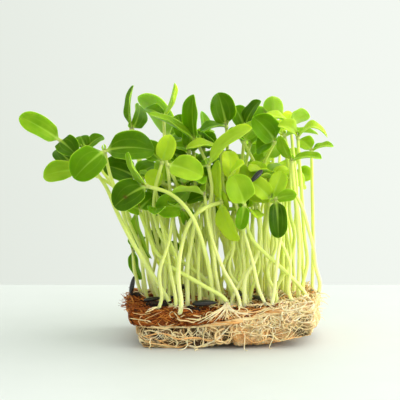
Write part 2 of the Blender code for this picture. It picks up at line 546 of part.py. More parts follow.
def lay_out(sprouts):
    """Bends stems and shifts heads, mostly in depth, until no two sprouts touch."""
    start = np.array([stem_route(s) for s in sprouts])
    routes = start.copy()
    owner, knot, share, offset, radius = sample_sprouts(sprouts)
    following = np.minimum(knot + 1, STEM_POINTS - 1)
    at_foot = (knot == 1) & (share < KNEE_REST)
    hull_places, hull_radii = hull_balls()
    all_radii = np.concatenate([radius, hull_radii])
    all_owners = np.concatenate([owner, np.full(len(hull_places), -1)])
    named = slice(0, len(NAMED_SPROUTS))
    for turn in range(RELAX_ROUNDS):
        low, high = routes[owner, knot], routes[owner, following]
        places = mix(low, high, share[:, None]) + offset
        everything = np.vstack([places, hull_places])
        if turn % RENEW == 0:
            ground = ground_under(places)
            first, second = near_pairs(everything, all_owners, 2 * STEM_RADIUS + SAMPLE_GAP + SEARCH_MARGIN)
        shift = np.zeros_like(routes)
        weight = np.zeros(routes.shape[:2])
        one, two, push = pushes(everything, all_radii, first, second)
        for ball, move in ((one, push / 2), (two, -push / 2)):
            live = ball < len(owner)
            ball, move = ball[live], move[live]
            for which, part in ((knot, 1 - share), (following, share)):
                np.add.at(shift, (owner[ball], which[ball]), move * part[ball][:, None])
                np.add.at(weight, (owner[ball], which[ball]), part[ball])
        rise = np.maximum(ground + radius + GROUND_GAP - places[:, 2], 0)
        rise[at_foot] = 0
        np.add.at(shift[:, :, 2], (owner, knot), rise)
        np.add.at(weight, (owner, knot), (rise > 0).astype(float))
        shift /= np.maximum(weight, 1.0)[:, :, None]
        shift[:, 0] = 0
        shift[:, 1] *= KNEE_SHARE
        spread = shift.copy()
        spread[:, 1:-1] += NEIGHBOUR_SHARE * (shift[:, :-2] + shift[:, 2:])
        routes += MOVE_SHARE * spread
        routes[named, 2:] += HOLD * (start[named, 2:] - routes[named, 2:])
        routes = np.round(routes, LAYOUT_DIGITS)
    return routes


# Meshes

def new_mesh_object(name, bm, collection):
    """Makes the object. Its faces are split first, so that no Boolean meets a bent one."""
    bmesh.ops.triangulate(bm, faces=bm.faces)
    mesh = bpy.data.meshes.new(name)
    bm.to_mesh(mesh)
    bm.free()
    obj = bpy.data.objects.new(name, mesh)
    collection.objects.link(obj)
    return obj


def face_outwards(bm):
    if bm.calc_volume(signed=True) < 0:
        bmesh.ops.reverse_faces(bm, faces=bm.faces)


def is_closed(mesh):
    bm = bmesh.new()
    bm.from_mesh(mesh)
    bmesh.ops.triangulate(bm, faces=bm.faces)
    closed = all(len(edge.link_faces) == 2 for edge in bm.edges)
    bm.free()
    return closed


def new_collection(name):
    collection = bpy.data.collections.new(name)
    bpy.context.scene.collection.children.link(collection)
    return collection


def material(name):
    colour, roughness = FINISHES[name]
    mat = bpy.data.materials.new(name)
    mat.use_nodes = True
    shader = mat.node_tree.nodes["Principled BSDF"]
    shader.inputs["Base Color"].default_value = (*colour, 1)
    shader.inputs["Roughness"].default_value = roughness
    shader.inputs["Metallic"].default_value = 0
    return mat


def as_cutter(obj):
    obj.hide_render = True
    obj.display_type = "WIRE"


def combine(obj, pieces, operation):
    """Adds a Boolean with a collection, by the solver that leaves the mesh closed, and returns that mesh."""
    boolean = obj.modifiers.new(pieces.name, "BOOLEAN")
    boolean.operation = operation
    boolean.operand_type = "COLLECTION"
    boolean.collection = pieces
    for solver in ("EXACT", "MANIFOLD"):
        boolean.solver = solver
        bpy.context.view_layer.update()
        mesh = bpy.data.meshes.new_from_object(obj.evaluated_get(bpy.context.evaluated_depsgraph_get()))
        if is_closed(mesh):
            break
    return mesh


def join(obj, pieces):
    """Unites an object with the pieces in a collection, and removes them."""
    mesh = combine(obj, pieces, "UNION")
    obj.modifiers.clear()
    obj.data = mesh
    for piece in list(pieces.objects):
        bpy.data.objects.remove(piece)
    bpy.data.collections.remove(pieces)


def tube(name, points, radii, resolution, collection):
    """A closed tube along points in millimetres: a curve with a bevel, made a mesh and welded."""
    curve = bpy.data.curves.new(name, "CURVE")
    curve.dimensions = "3D"
    curve.bevel_depth = MM
    curve.bevel_resolution = resolution
    curve.use_fill_caps = True
    spline = curve.splines.new("POLY")
    spline.points.add(len(points) - 1)
    for point, place, radius in zip(spline.points, points, radii):
        point.co = (*(Vector(place) * MM), 1)
        point.radius = radius
    guide = bpy.data.objects.new(name, curve)
    collection.objects.link(guide)
    bpy.context.view_layer.update()
    mesh = bpy.data.meshes.new_from_object(guide.evaluated_get(bpy.context.evaluated_depsgraph_get()))
    bpy.data.objects.remove(guide)
    bpy.data.curves.remove(curve)
    bm = bmesh.new()
    bm.from_mesh(mesh)
    bpy.data.meshes.remove(mesh)
    bmesh.ops.remove_doubles(bm, verts=bm.verts, dist=WELD * MM)
    face_outwards(bm)
    return new_mesh_object(name, bm, collection)


# The sprouts

def leaf_blade(name, leaf, head, rows, collection):
    """A cotyledon: a grid bent to the leaf's surface, split into triangles, then given its thickness."""
    bm = bmesh.new()
    bmesh.ops.create_grid(bm, x_segments=1, y_segments=rows, size=1)
    for vert in bm.verts:
        t = math.sin((vert.co.y + 1) / 2 * math.pi / 2) ** LEAF_TIP_ROWS
        place = leaf_point(leaf, mix(LEAF_START, 1.0, t), round(vert.co.x))
        vert.co = Vector(head + place) * MM
    bmesh.ops.triangulate(bm, faces=bm.faces)
    bmesh.ops.solidify(bm, geom=bm.faces, thickness=LEAF_THICK * MM)
    face_outwards(bm)
    return new_mesh_object(name, bm, collection)


def crown_roots(route, collection):
    """The fan of roots that runs from the front sprout's foot down the face of the block."""
    crown = Vector(route[0].tolist()).lerp(Vector(route[1].tolist()), CROWN_START)
    for index, spread in enumerate(CROWN_SPREAD):
        points = [crown]
        for share, w, rise in CROWN_PATH:
            x = crown.x + spread * share
            at = side_point(COIR_SLAB, front_bearing(x), w, CROWN_OUT)
            points.append(Vector((x, at.y, at.z + rise)))
        radii = np.linspace(*CROWN_RADII, len(points))
        tube(f"crown_root_{index}", points, radii, STEM_RESOLUTION, collection)


def make_sprout(number, sprout, route, rows, collection):
    """A stem with its two cotyledons."""
    name = f"sprout_{number + 1:02d}"
    radii = np.linspace(STEM_RADIUS, STEM_TOP_RADIUS, len(route))
    stem = tube(name, route, radii, STEM_RESOLUTION, collection)
    pieces = new_collection(name + "_pieces")
    for side, leaf in enumerate(sprout.leaves):
        leaf_blade(f"{name}_leaf_{side}", leaf, route[-1], rows, pieces)
    if number == CROWN_SPROUT:
        crown_roots(route, pieces)
    join(stem, pieces)
    return stem


def surface_tree(obj):
    bm = bmesh.new()
    bm.from_mesh(obj.data)
    tree = BVHTree.FromBMesh(bm)
    bm.free()
    return tree


def join_crossing(stems):
    """Joins sprouts that share a foot or lie through each other, and names the node for all of them."""
    trees = [surface_tree(stem) for stem in stems]
    group = list(range(len(stems)))
    for a in range(len(stems)):
        for b in range(a + 1, len(stems)):
            if group[a] != group[b] and trees[a].overlap(trees[b]):
                low, high = sorted((group[a], group[b]))
                group = [low if g == high else g for g in group]
    joined = []
    for first in sorted(set(group)):
        members = [n for n, g in enumerate(group) if g == first]
        if len(members) > 1:
            pieces = new_collection("joining")
            for n in members[1:]:
                pieces.objects.link(stems[n])
            join(stems[first], pieces)
            stems[first].name = "sprouts_" + "_".join(f"{n + 1:02d}" for n in members)
        joined.append(stems[first])
    return joined


def hole_cutter(index, route, collection):
    """A plain hole round a stem's foot."""
    foot, knee = Vector(route[0].tolist()), Vector(route[1].tolist())
    aim = (knee - foot).normalized()
    low, high = foot - aim * HOLE_CLEARANCE, knee + aim * HOLE_ABOVE
    bm = bmesh.new()
    bmesh.ops.create_cone(bm, cap_ends=True, segments=HOLE_SIDES, radius1=1, radius2=1, depth=1)
    turn = Vector((0, 0, 1)).rotation_difference(aim).to_matrix()
    radius = (STEM_RADIUS + HOLE_CLEARANCE) / math.cos(math.pi / HOLE_SIDES)
    for vert in bm.verts:
        local = Vector((vert.co.x * radius, vert.co.y * radius, vert.co.z * (high - low).length))
        vert.co = (turn @ local + (low + high) / 2) * MM
    as_cutter(new_mesh_object(f"hole_{index}", bm, collection))


# The block and the hulls

def make_slab(name, slab, cuts, collection):
    """A block from a cube that is cut along each axis and bent to its rounded, wavy shape."""
    bm = bmesh.new()
    bmesh.ops.create_cube(bm, size=2)
    for axis, count in enumerate(cuts):
        edges = [e for e in bm.edges
                 if abs(abs((e.verts[1].co - e.verts[0].co).normalized()[axis]) - 1) < TINY]
        bmesh.ops.subdivide_edges(bm, edges=edges, cuts=count, use_grid_fill=True)
    for vert in bm.verts:
        vert.co = Vector(slab_point(slab, *vert.co)) * MM
    return new_mesh_object(name, bm, collection)


def surface_root(index, root, collection):
    """A thick root that runs over the side of the root mat, sunk into it by most of its thickness."""
    points = []
    for step in range(ROOT_STEPS + 1):
        t = step / ROOT_STEPS
        w = mix(root.low, root.high, t) + root.wave * math.sin(math.tau * ROOT_SWINGS * t + index)
        bearing = math.radians(mix(root.start, root.end, t))
        middle = math.sqrt(max(0.0, math.sin(math.pi * t)))
        point = side_point(ROOT_SLAB, bearing, w, mix(*ROOT_OUT, middle) * root.radius)
        point.z = max(point.z, root.radius + ROOT_CLEAR)
        points.append(point)
    return tube(f"root_{index}", points, [root.radius] * len(points), STEM_RESOLUTION, collection)


def make_hull(number, hull, collection):
    """A seed hull: a ball drawn out to a point at one end and blunt at the other."""
    bm = bmesh.new()
    bmesh.ops.create_uvsphere(bm, u_segments=HULL_SIDES, v_segments=HULL_RINGS, radius=1)
    turn, tilt = math.radians(hull.turn), math.radians(hull.tilt)
    for vert in bm.verts:
        taper = (1 - HULL_TAPER * (vert.co.z + 1) / 2) / 2
        x, y, z = vert.co.z * HULL_LENGTH / 2, vert.co.x * taper * HULL_WIDTH, vert.co.y * taper * HULL_THICK
        x, z = x * math.cos(tilt) - z * math.sin(tilt), x * math.sin(tilt) + z * math.cos(tilt)
        x, y = x * math.cos(turn) - y * math.sin(turn), x * math.sin(turn) + y * math.cos(turn)
        vert.co = (Vector((x, y, z)) * hull.size + Vector((hull.x, hull.y, hull.z))) * MM
    face_outwards(bm)
    return new_mesh_object(f"hull_{number + 1}", bm, collection)


def finish(obj, mat):
    obj.data.materials.clear()
    obj.data.materials.append(mat)


def main():
    for obj in list(bpy.data.objects):
        bpy.data.objects.remove(obj)
    block = new_collection("sunflower_microgreens")
    cutters = new_collection("cutters")

    sprouts = NAMED_SPROUTS + rest_of_stand()
    routes = lay_out(sprouts)
    stems = []
    for number, (sprout, route) in enumerate(zip(sprouts, routes)):
        rows = SEEN_ROWS if number < len(NAMED_SPROUTS) else HIDDEN_ROWS
        stems.append(make_sprout(number, sprout, route, rows, block))
        if not sprout.twin:
            hole_cutter(number, route, cutters)
    green = material("sprout_green")
    for stem in join_crossing(stems):
        finish(stem, green)

    root_mat = make_slab("root_mat", ROOT_SLAB, ROOT_CUTS, block)
    strands = new_collection("strands")
    for index, root in enumerate(ROOTS):
        surface_root(index, root, strands)
    join(root_mat, strands)
    finish(root_mat, material("root_cream"))
    coir = make_slab("coir_layer", COIR_SLAB, COIR_CUTS, block)
    finish(coir, material("coir_brown"))
    beds = new_collection("beds")
    as_cutter(make_slab("root_mat_bed", BED_SLAB, ROOT_CUTS, beds))
    combine(coir, beds, "DIFFERENCE")
    for layer in (root_mat, coir):
        combine(layer, cutters, "DIFFERENCE")

    black = material("hull_black")
    for number, hull in enumerate(HULLS):
        shell = make_hull(number, hull, block)
        finish(shell, black)
        shell.data.shade_smooth()


main()
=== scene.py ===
# %% [markdown]
# # A cut block of sunflower microgreens
# The object is a block of felted roots under a thin bed of coir, with sixty pale stems standing in it. Each stem
# carries two thick seed leaves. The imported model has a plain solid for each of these. This lesson puts a fine
# piece in the place of each solid, and adds what is too fine for a solid: strands, fibres, crumbs and veins.
# Tables are in millimetres, and one factor turns them to metres where a mesh is made.

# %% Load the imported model
import math
import random
from collections import defaultdict, namedtuple

import bmesh
import bpy
import numpy as np
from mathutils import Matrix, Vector, noise
from mathutils.kdtree import KDTree


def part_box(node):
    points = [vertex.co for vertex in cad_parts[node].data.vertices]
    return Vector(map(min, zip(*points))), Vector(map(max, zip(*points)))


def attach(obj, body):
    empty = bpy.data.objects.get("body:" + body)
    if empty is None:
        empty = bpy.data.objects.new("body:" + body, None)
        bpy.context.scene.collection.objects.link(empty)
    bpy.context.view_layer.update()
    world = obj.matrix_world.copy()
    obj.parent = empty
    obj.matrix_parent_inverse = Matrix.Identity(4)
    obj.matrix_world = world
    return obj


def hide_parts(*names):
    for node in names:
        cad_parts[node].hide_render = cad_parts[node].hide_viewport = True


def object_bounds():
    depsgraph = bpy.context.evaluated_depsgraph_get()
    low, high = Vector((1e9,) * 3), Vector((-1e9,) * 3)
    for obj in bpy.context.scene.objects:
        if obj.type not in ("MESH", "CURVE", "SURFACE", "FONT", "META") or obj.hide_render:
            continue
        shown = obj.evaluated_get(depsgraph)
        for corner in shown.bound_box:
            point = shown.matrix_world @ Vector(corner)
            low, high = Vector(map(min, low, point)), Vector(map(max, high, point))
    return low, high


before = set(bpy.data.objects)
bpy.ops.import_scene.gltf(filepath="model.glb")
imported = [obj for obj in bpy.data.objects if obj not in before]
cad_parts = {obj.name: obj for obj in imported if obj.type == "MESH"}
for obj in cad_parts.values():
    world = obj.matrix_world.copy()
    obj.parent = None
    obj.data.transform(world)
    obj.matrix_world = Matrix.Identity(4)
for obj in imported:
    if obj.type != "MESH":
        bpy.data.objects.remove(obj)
cad_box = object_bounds()
MM = 0.001
print("nodes", len(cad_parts), "CAD box", [list(corner) for corner in cad_box])

# %% [markdown]
# ## Camera, table and light
# A long lens from half a metre away, pitched down a little, gives the flat product view. The table is a plain pale
# plate whose back edge shows as a faint line, and beyond it is a pale studio. The light is soft and comes mostly
# from behind on the right, so that it shines through the leaves and the stems. A world that is brighter behind
# the object does most of that, and one large lamp gives the bright rims.

# %% Camera
CAMERA_DISTANCE = 0.55
CAMERA_PITCH = math.radians(5.5)
CAMERA_TARGET = Vector((-0.0115, 0.0, 0.0635))
VIEW_WIDTH = 0.184               # metres across the picture at the target
SENSOR = 36.0

scene = bpy.context.scene
lens = bpy.data.cameras.new("studio_camera")
lens.sensor_width = SENSOR
lens.lens = SENSOR * CAMERA_DISTANCE / VIEW_WIDTH
lens.clip_start = 0.01
camera = bpy.data.objects.new("studio_camera", lens)
back, up = math.cos(CAMERA_PITCH), math.sin(CAMERA_PITCH)
camera.location = CAMERA_TARGET + CAMERA_DISTANCE * Vector((0, -back, up))
camera.rotation_euler = (math.radians(90) - CAMERA_PITCH, 0, 0)
scene.collection.objects.link(camera)
scene.camera = camera
scene.view_settings.view_transform = "Standard"
print("lens", round(lens.lens, 1), "mm")

# %% [markdown]
# Two small helpers serve every finish. One turns a colour that is written as sRGB hex into the linear numbers that
# Blender works with. The other adds a node and gives it its settings and links in one line.

# %% Helpers for finishes
def linear(code):
    """A linear colour from a six-digit sRGB hex code."""
    parts = [int(code[k:k + 2], 16) / 255 for k in (0, 2, 4)]
    return (*[c / 12.92 if c <= 0.04045 else ((c + 0.055) / 1.055) ** 2.4 for c in parts], 1.0)


def add(tree, kind, sockets=None, **settings):
    """Adds a node, gives it its settings, and sets or links its input sockets."""
    made = tree.nodes.new(kind)
    for name, value in settings.items():
        setattr(made, name, value)
    for key, value in (sockets or {}).items():
        if isinstance(value, bpy.types.NodeSocket):
            tree.links.new(value, made.inputs[key])
        else:
            made.inputs[key].default_value = value
    return made


def new_finish(name):
    """An empty node material and its tree."""
    made = bpy.data.materials.new(name)
    made.use_nodes = True
    made.node_tree.nodes.clear()
    return made, made.node_tree


# %% Studio world
WORLD_TOWARDS = (0.75, 0.62, 0.20)
WORLD_DIM, WORLD_BRIGHT = linear("DBE1D8"), linear("F5FAF3")
# How bright it is against the backdrop, by direction: where the change starts and ends, and from what to what
FROM_RIGHT = (0.35, 0.9, 1.0, 1.6)        # along X
BEHIND_CAMERA = (-0.9, 0.1, 0.65, 1.0)    # along Y
OVERHEAD = (0.3, 0.8, 1.0, 1.5)           # along Z

world = bpy.data.worlds.new("studio")
scene.world = world
world.use_nodes = True
tree = world.node_tree
tree.nodes.clear()
facing = add(tree, "ShaderNodeTexCoord").outputs["Generated"]
towards = add(tree, "ShaderNodeVectorMath", {0: facing, 1: WORLD_TOWARDS}, operation="DOT_PRODUCT").outputs["Value"]
share = add(tree, "ShaderNodeMapRange", {0: towards, 1: 0.2, 2: 0.85}, interpolation_type="SMOOTHSTEP").outputs[0]
colour = add(tree, "ShaderNodeMix", {0: share, 6: WORLD_DIM, 7: WORLD_BRIGHT}, data_type="RGBA").outputs[2]
axes = add(tree, "ShaderNodeSeparateXYZ", {0: facing}).outputs
strength = 1.0
for axis, (start, end, least, most) in zip(axes, (FROM_RIGHT, BEHIND_CAMERA, OVERHEAD)):
    part = add(tree, "ShaderNodeMapRange", {0: axis, 1: start, 2: end, 3: least, 4: most},
               interpolation_type="SMOOTHSTEP").outputs[0]
    strength = add(tree, "ShaderNodeMath", {0: strength, 1: part}, operation="MULTIPLY").outputs[0]
sky = add(tree, "ShaderNodeBackground", {"Color": colour, "Strength": strength}).outputs[0]
add(tree, "ShaderNodeOutputWorld", {"Surface": sky})

# %% Lamps
def area_lamp(name, place, size, power, colour):
    """A square lamp that points at the middle of the object."""
    data = bpy.data.lights.new(name, "AREA")
    data.size = size
    data.energy = power
    data.color = linear(colour)[:3]
    lamp = bpy.data.objects.new(name, data)
    lamp.location = place
    lamp.rotation_euler = (CAMERA_TARGET - Vector(place)).to_track_quat("-Z", "Y").to_euler()
    scene.collection.objects.link(lamp)


area_lamp("right_back_softbox", (1.06, 0.36, 0.62), 0.90, 6.5, "FFFDF8")
area_lamp("right_softbox", (0.75, -0.34, 0.24), 0.50, 3.2, "FFFDF8")
area_lamp("front_softbox", (0.10, -0.90, 0.60), 0.80, 1.6, "FFFEFA")

# %% Table
TABLE_HALF_WIDE = 0.45
TABLE_FRONT, TABLE_BACK = -0.45, 0.1455  # the back edge is where the photograph shows the table's line
TABLE_THICK = 0.012
TABLE_DROP = 0.0001              # the top lies this far under the object

bm = bmesh.new()
bmesh.ops.create_cube(bm, size=2)
for vert in bm.verts:
    vert.co.x *= TABLE_HALF_WIDE
    vert.co.y = TABLE_BACK if vert.co.y > 0 else TABLE_FRONT
    vert.co.z = (vert.co.z - 1) / 2 * TABLE_THICK - TABLE_DROP
bmesh.ops.bevel(bm, geom=bm.edges[:], offset=0.002, affect="EDGES", segments=3, profile=0.5, material=-1)
mesh = bpy.data.meshes.new("table_top")
bm.to_mesh(mesh)
bm.free()
table = bpy.data.objects.new("table_top", mesh)
scene.collection.objects.link(table)

# Matt white laminate: an even pale grey in the light, so that the soft shadow shows on it
laminate, tree = new_finish("matt_white_laminate")
coordinates = add(tree, "ShaderNodeTexCoord").outputs["Object"]
grain = add(tree, "ShaderNodeTexNoise", {"Vector": coordinates, "Scale": 40.0, "Detail": 2.0}).outputs[0]
colour = add(tree, "ShaderNodeMix", {0: grain, 6: linear("D7DAD9"), 7: linear("DCDFDE")}, data_type="RGBA").outputs[2]
shader = add(tree, "ShaderNodeBsdfPrincipled", {"Base Color": colour, "Roughness": 0.6})
add(tree, "ShaderNodeOutputMaterial", {"Surface": shader.outputs[0]})
table.data.materials.append(laminate)

# %% [markdown]
# ## Where everything is
# The block is a cube bent to a rounded, wavy form, and every stem was laid out so that no two touch. Both are
# worked out here by the same rules as in the model, so that the fine pieces come where the solids are. The
# alternative, to measure the solids, would lose which way each leaf faces.

# %% Sizes of the block
GAP = 0.3
ROOT_HALF = (41.5, 27.5)        # half width and half depth
ROOT_CENTRE = (0.8, 0.0)
COIR_HALF = (37.0, 28.0)
COIR_CENTRE = (-8.0, 0.0)
ROOT_LAYER = 10.5               # thickness of the root mat under the coir
BLOCK_TOP = 17.0                # height of the block's top at the left
END_RISE = 3.0                  # how much higher it is at the right end
RISE_FROM, RISE_TO = -25.0, 40.0  # where the root mat climbs through the coir to the top
LUMP, UNDER_LUMP = 0.7, 0.28    # height of the lumps on the top, and where the two layers meet
LUMP_WAVES = ((0.31, 0.17, 0.0), (0.13, -0.41, 1.0), (0.52, 0.36, 2.0))  # along X, along Y and phase
LEFT_HEAP = (-41.0, -6.0, 4.6)  # the heap of coir at the left end: x, y and height
HEAP_REACH = (5.0, 9.0)
END_LIFT = 5.5                  # how far the underside curves up at the right end
LIFT_FROM, LIFT_TO = 20.0, 44.0
HOLLOW = 2.4                    # height of the hollow under the front right, which shows as a dark gap
HOLLOW_X = (-14.0, 0.0, 26.0, 38.0)  # where it starts, is full, is full no more, and ends
HOLLOW_Y = (14.0, 26.0)         # how far in front of the middle it starts, and is full
COIR_LEAST = 1.2                # the coir's least thickness, where the root mat climbs into it
CORNER = 0.17                   # how much a block's corners are rounded
ROOT_INSET, COIR_INSET = 0.040, 0.035  # how far the upper and lower edges draw in, as a share
RIPPLES = ((3, 0.7, 0.022), (8, 2.0, 0.014))  # waves round the outline: number, phase and share
RIM_POWER, INSET_POWER = 6, 3   # how close to the sides and to the edges those two act


# %% The block's form
def mix(a, b, t):
    return a + (b - a) * t


def smooth_step(low, high, value):
    t = min(max((value - low) / (high - low), 0.0), 1.0)
    return t * t * (3 - 2 * t)


def lumps(x, y):
    """Low lumps of the block's faces, from -1 to 1."""
    return sum(math.sin(a * x + b * y + phase) for a, b, phase in LUMP_WAVES) / len(LUMP_WAVES)


def block_top(x, y):
    heap_x, heap_y, heap = LEFT_HEAP
    heap *= math.exp(-((x - heap_x) / HEAP_REACH[0]) ** 2 - ((y - heap_y) / HEAP_REACH[1]) ** 2)
    return BLOCK_TOP + END_RISE * smooth_step(0, RISE_TO, x) + LUMP * lumps(x, y) + heap


def root_top(x, y):
    """The root mat is low under the coir and climbs to the block's top at the right end."""
    low = ROOT_LAYER + UNDER_LUMP * lumps(y, x)
    return mix(low, block_top(x, y), smooth_step(RISE_FROM, RISE_TO, x))


def root_bottom(x, y):
    """Flat, but for the hollow at the front and the right end, which curves up."""
    start, full, until, end = HOLLOW_X
    hollow = smooth_step(start, full, x) * (1 - smooth_step(until, end, x)) * smooth_step(*HOLLOW_Y, -y)
    return HOLLOW * hollow + END_LIFT * smooth_step(LIFT_FROM, LIFT_TO, x)


def coir_top(x, y):
    return max(block_top(x, y), root_top(x, y) + GAP + COIR_LEAST)


COIR_SUNK = 0.5                  # how far the fine coir reaches into the root mat, which it has grown into


def coir_bottom(x, y):
    return root_top(x, y) - COIR_SUNK


Slab = namedtuple("Slab", "half centre bottom top inset")
ROOT_SLAB = Slab(ROOT_HALF, ROOT_CENTRE, root_bottom, root_top, ROOT_INSET)
COIR_SLAB = Slab(COIR_HALF, COIR_CENTRE, coir_bottom, coir_top, COIR_INSET)


def slab_point(slab, u, v, w):
    """A point of a rounded, wavy block from its place in a cube from -1 to 1."""
    x = u * math.sqrt(1 - CORNER * v * v)
    y = v * math.sqrt(1 - CORNER * u * u)
    rim = max(abs(u), abs(v)) ** RIM_POWER
    bearing = math.atan2(v, u)
    ripple = sum(share * math.sin(waves * bearing + phase) for waves, phase, share in RIPPLES)
    spread = 1 + rim * (ripple - slab.inset * abs(w) ** INSET_POWER)
    x = slab.centre[0] + slab.half[0] * x * spread
    y = slab.centre[1] + slab.half[1] * y * spread
    return x, y, mix(slab.bottom(x, y), slab.top(x, y), (w + 1) / 2)


def side_point(slab, bearing, w, out):
    """A point on a slab's side, pushed out by a distance."""
    c, s = math.cos(bearing), math.sin(bearing)
    reach = max(abs(c), abs(s))
    x, y, z = slab_point(slab, c / reach, s / reach, w)
    away = Vector((c * slab.half[1], s * slab.half[0], 0)).normalized()
    return Vector((x, y, z)) + out * away


def front_bearing(x):
    """The bearing at which a point of the coir's front face has this x."""
    u = (x - COIR_CENTRE[0]) / COIR_HALF[0] / math.sqrt(1 - CORNER)
    return math.atan2(-1.0, u)


print("block", 2 * ROOT_HALF[0], "by", 2 * COIR_HALF[1], "mm, top at", round(block_top(0, 0), 1))

# %% Sizes of stems, leaves and hulls
STEM_RADIUS = 1.3
STEM_TOP_RADIUS = 1.05
STEM_POINTS = 8
FOOT_DEPTH = 5.0                # how deep a stem stands in the block
FOOT_LENGTH = 10.0              # the straight stretch at a stem's foot
FOOT_SLOPE = 1.6                # the least rise of that stretch against its run
BEND_ABOVE = 3.0                # a bend less than this above that stretch is left out
FOOT_SPACING = 5.6              # least distance between two feet
TWIN_START = 0.8                # where on the straight stretch that it shares a twin starts
TWIN_APART = 2.4                # how far it leaves that stretch
LEAF_THICK = 0.8
LEAF_START = -0.02              # a blade starts this share of its length behind the head
LEAF_TIP_ROWS = 1.15            # evens out the rows, which crowd to the tip
LEAF_NECK = 0.8                 # half width of the leaf's stalk
NECK_POWER = 3                  # how fast the stalk narrows along the blade
LEAF_LEAST = 0.15               # least half width, at the tip
LEAF_OPENS = (-0.02, 0.22)      # where the stalk opens into the blade
LEAF_WIDEST = 0.55              # where along its length a leaf is widest
LEAF_ROUND = (2.2, 2.5)         # how full the outline is below and above that
LEAF_ARCH = 0.10                # how far the middle bows up, as a share of the length
LEAF_CUP = 0.12                 # how far the edges rise, as a share of the half width
HULL_LENGTH, HULL_WIDTH, HULL_THICK = 11.0, 4.8, 3.2
HULL_TAPER = 0.35               # how much narrower the pointed end is
HULL_SPACING = 7.5              # least distance from a foot to the middle of a hull

# %% The sprouts that can be told apart from the front
FRONT = (0.1, -1.0, 0.3)
FRONT_UP = (0.1, -1.0, 0.6)
UP = (0.0, -0.55, 0.9)
FLAT = (0.0, -0.3, 1.0)
LEFT = (-0.75, -0.55, 0.3)
FAR_LEFT = (-0.9, -0.38, 0.2)
RIGHT = (0.9, -0.5, 0.1)
EDGE_ON = (1.0, -0.1, 0.2)
BACK = (0.1, 1.0, 0.2)
BACK_UP = (0.1, 0.7, 0.6)
Leaf = namedtuple("Leaf", "dx dy dz width face arch", defaults=[LEAF_ARCH])
Sprout = namedtuple("Sprout", "foot bends head leaves twin", defaults=[False])
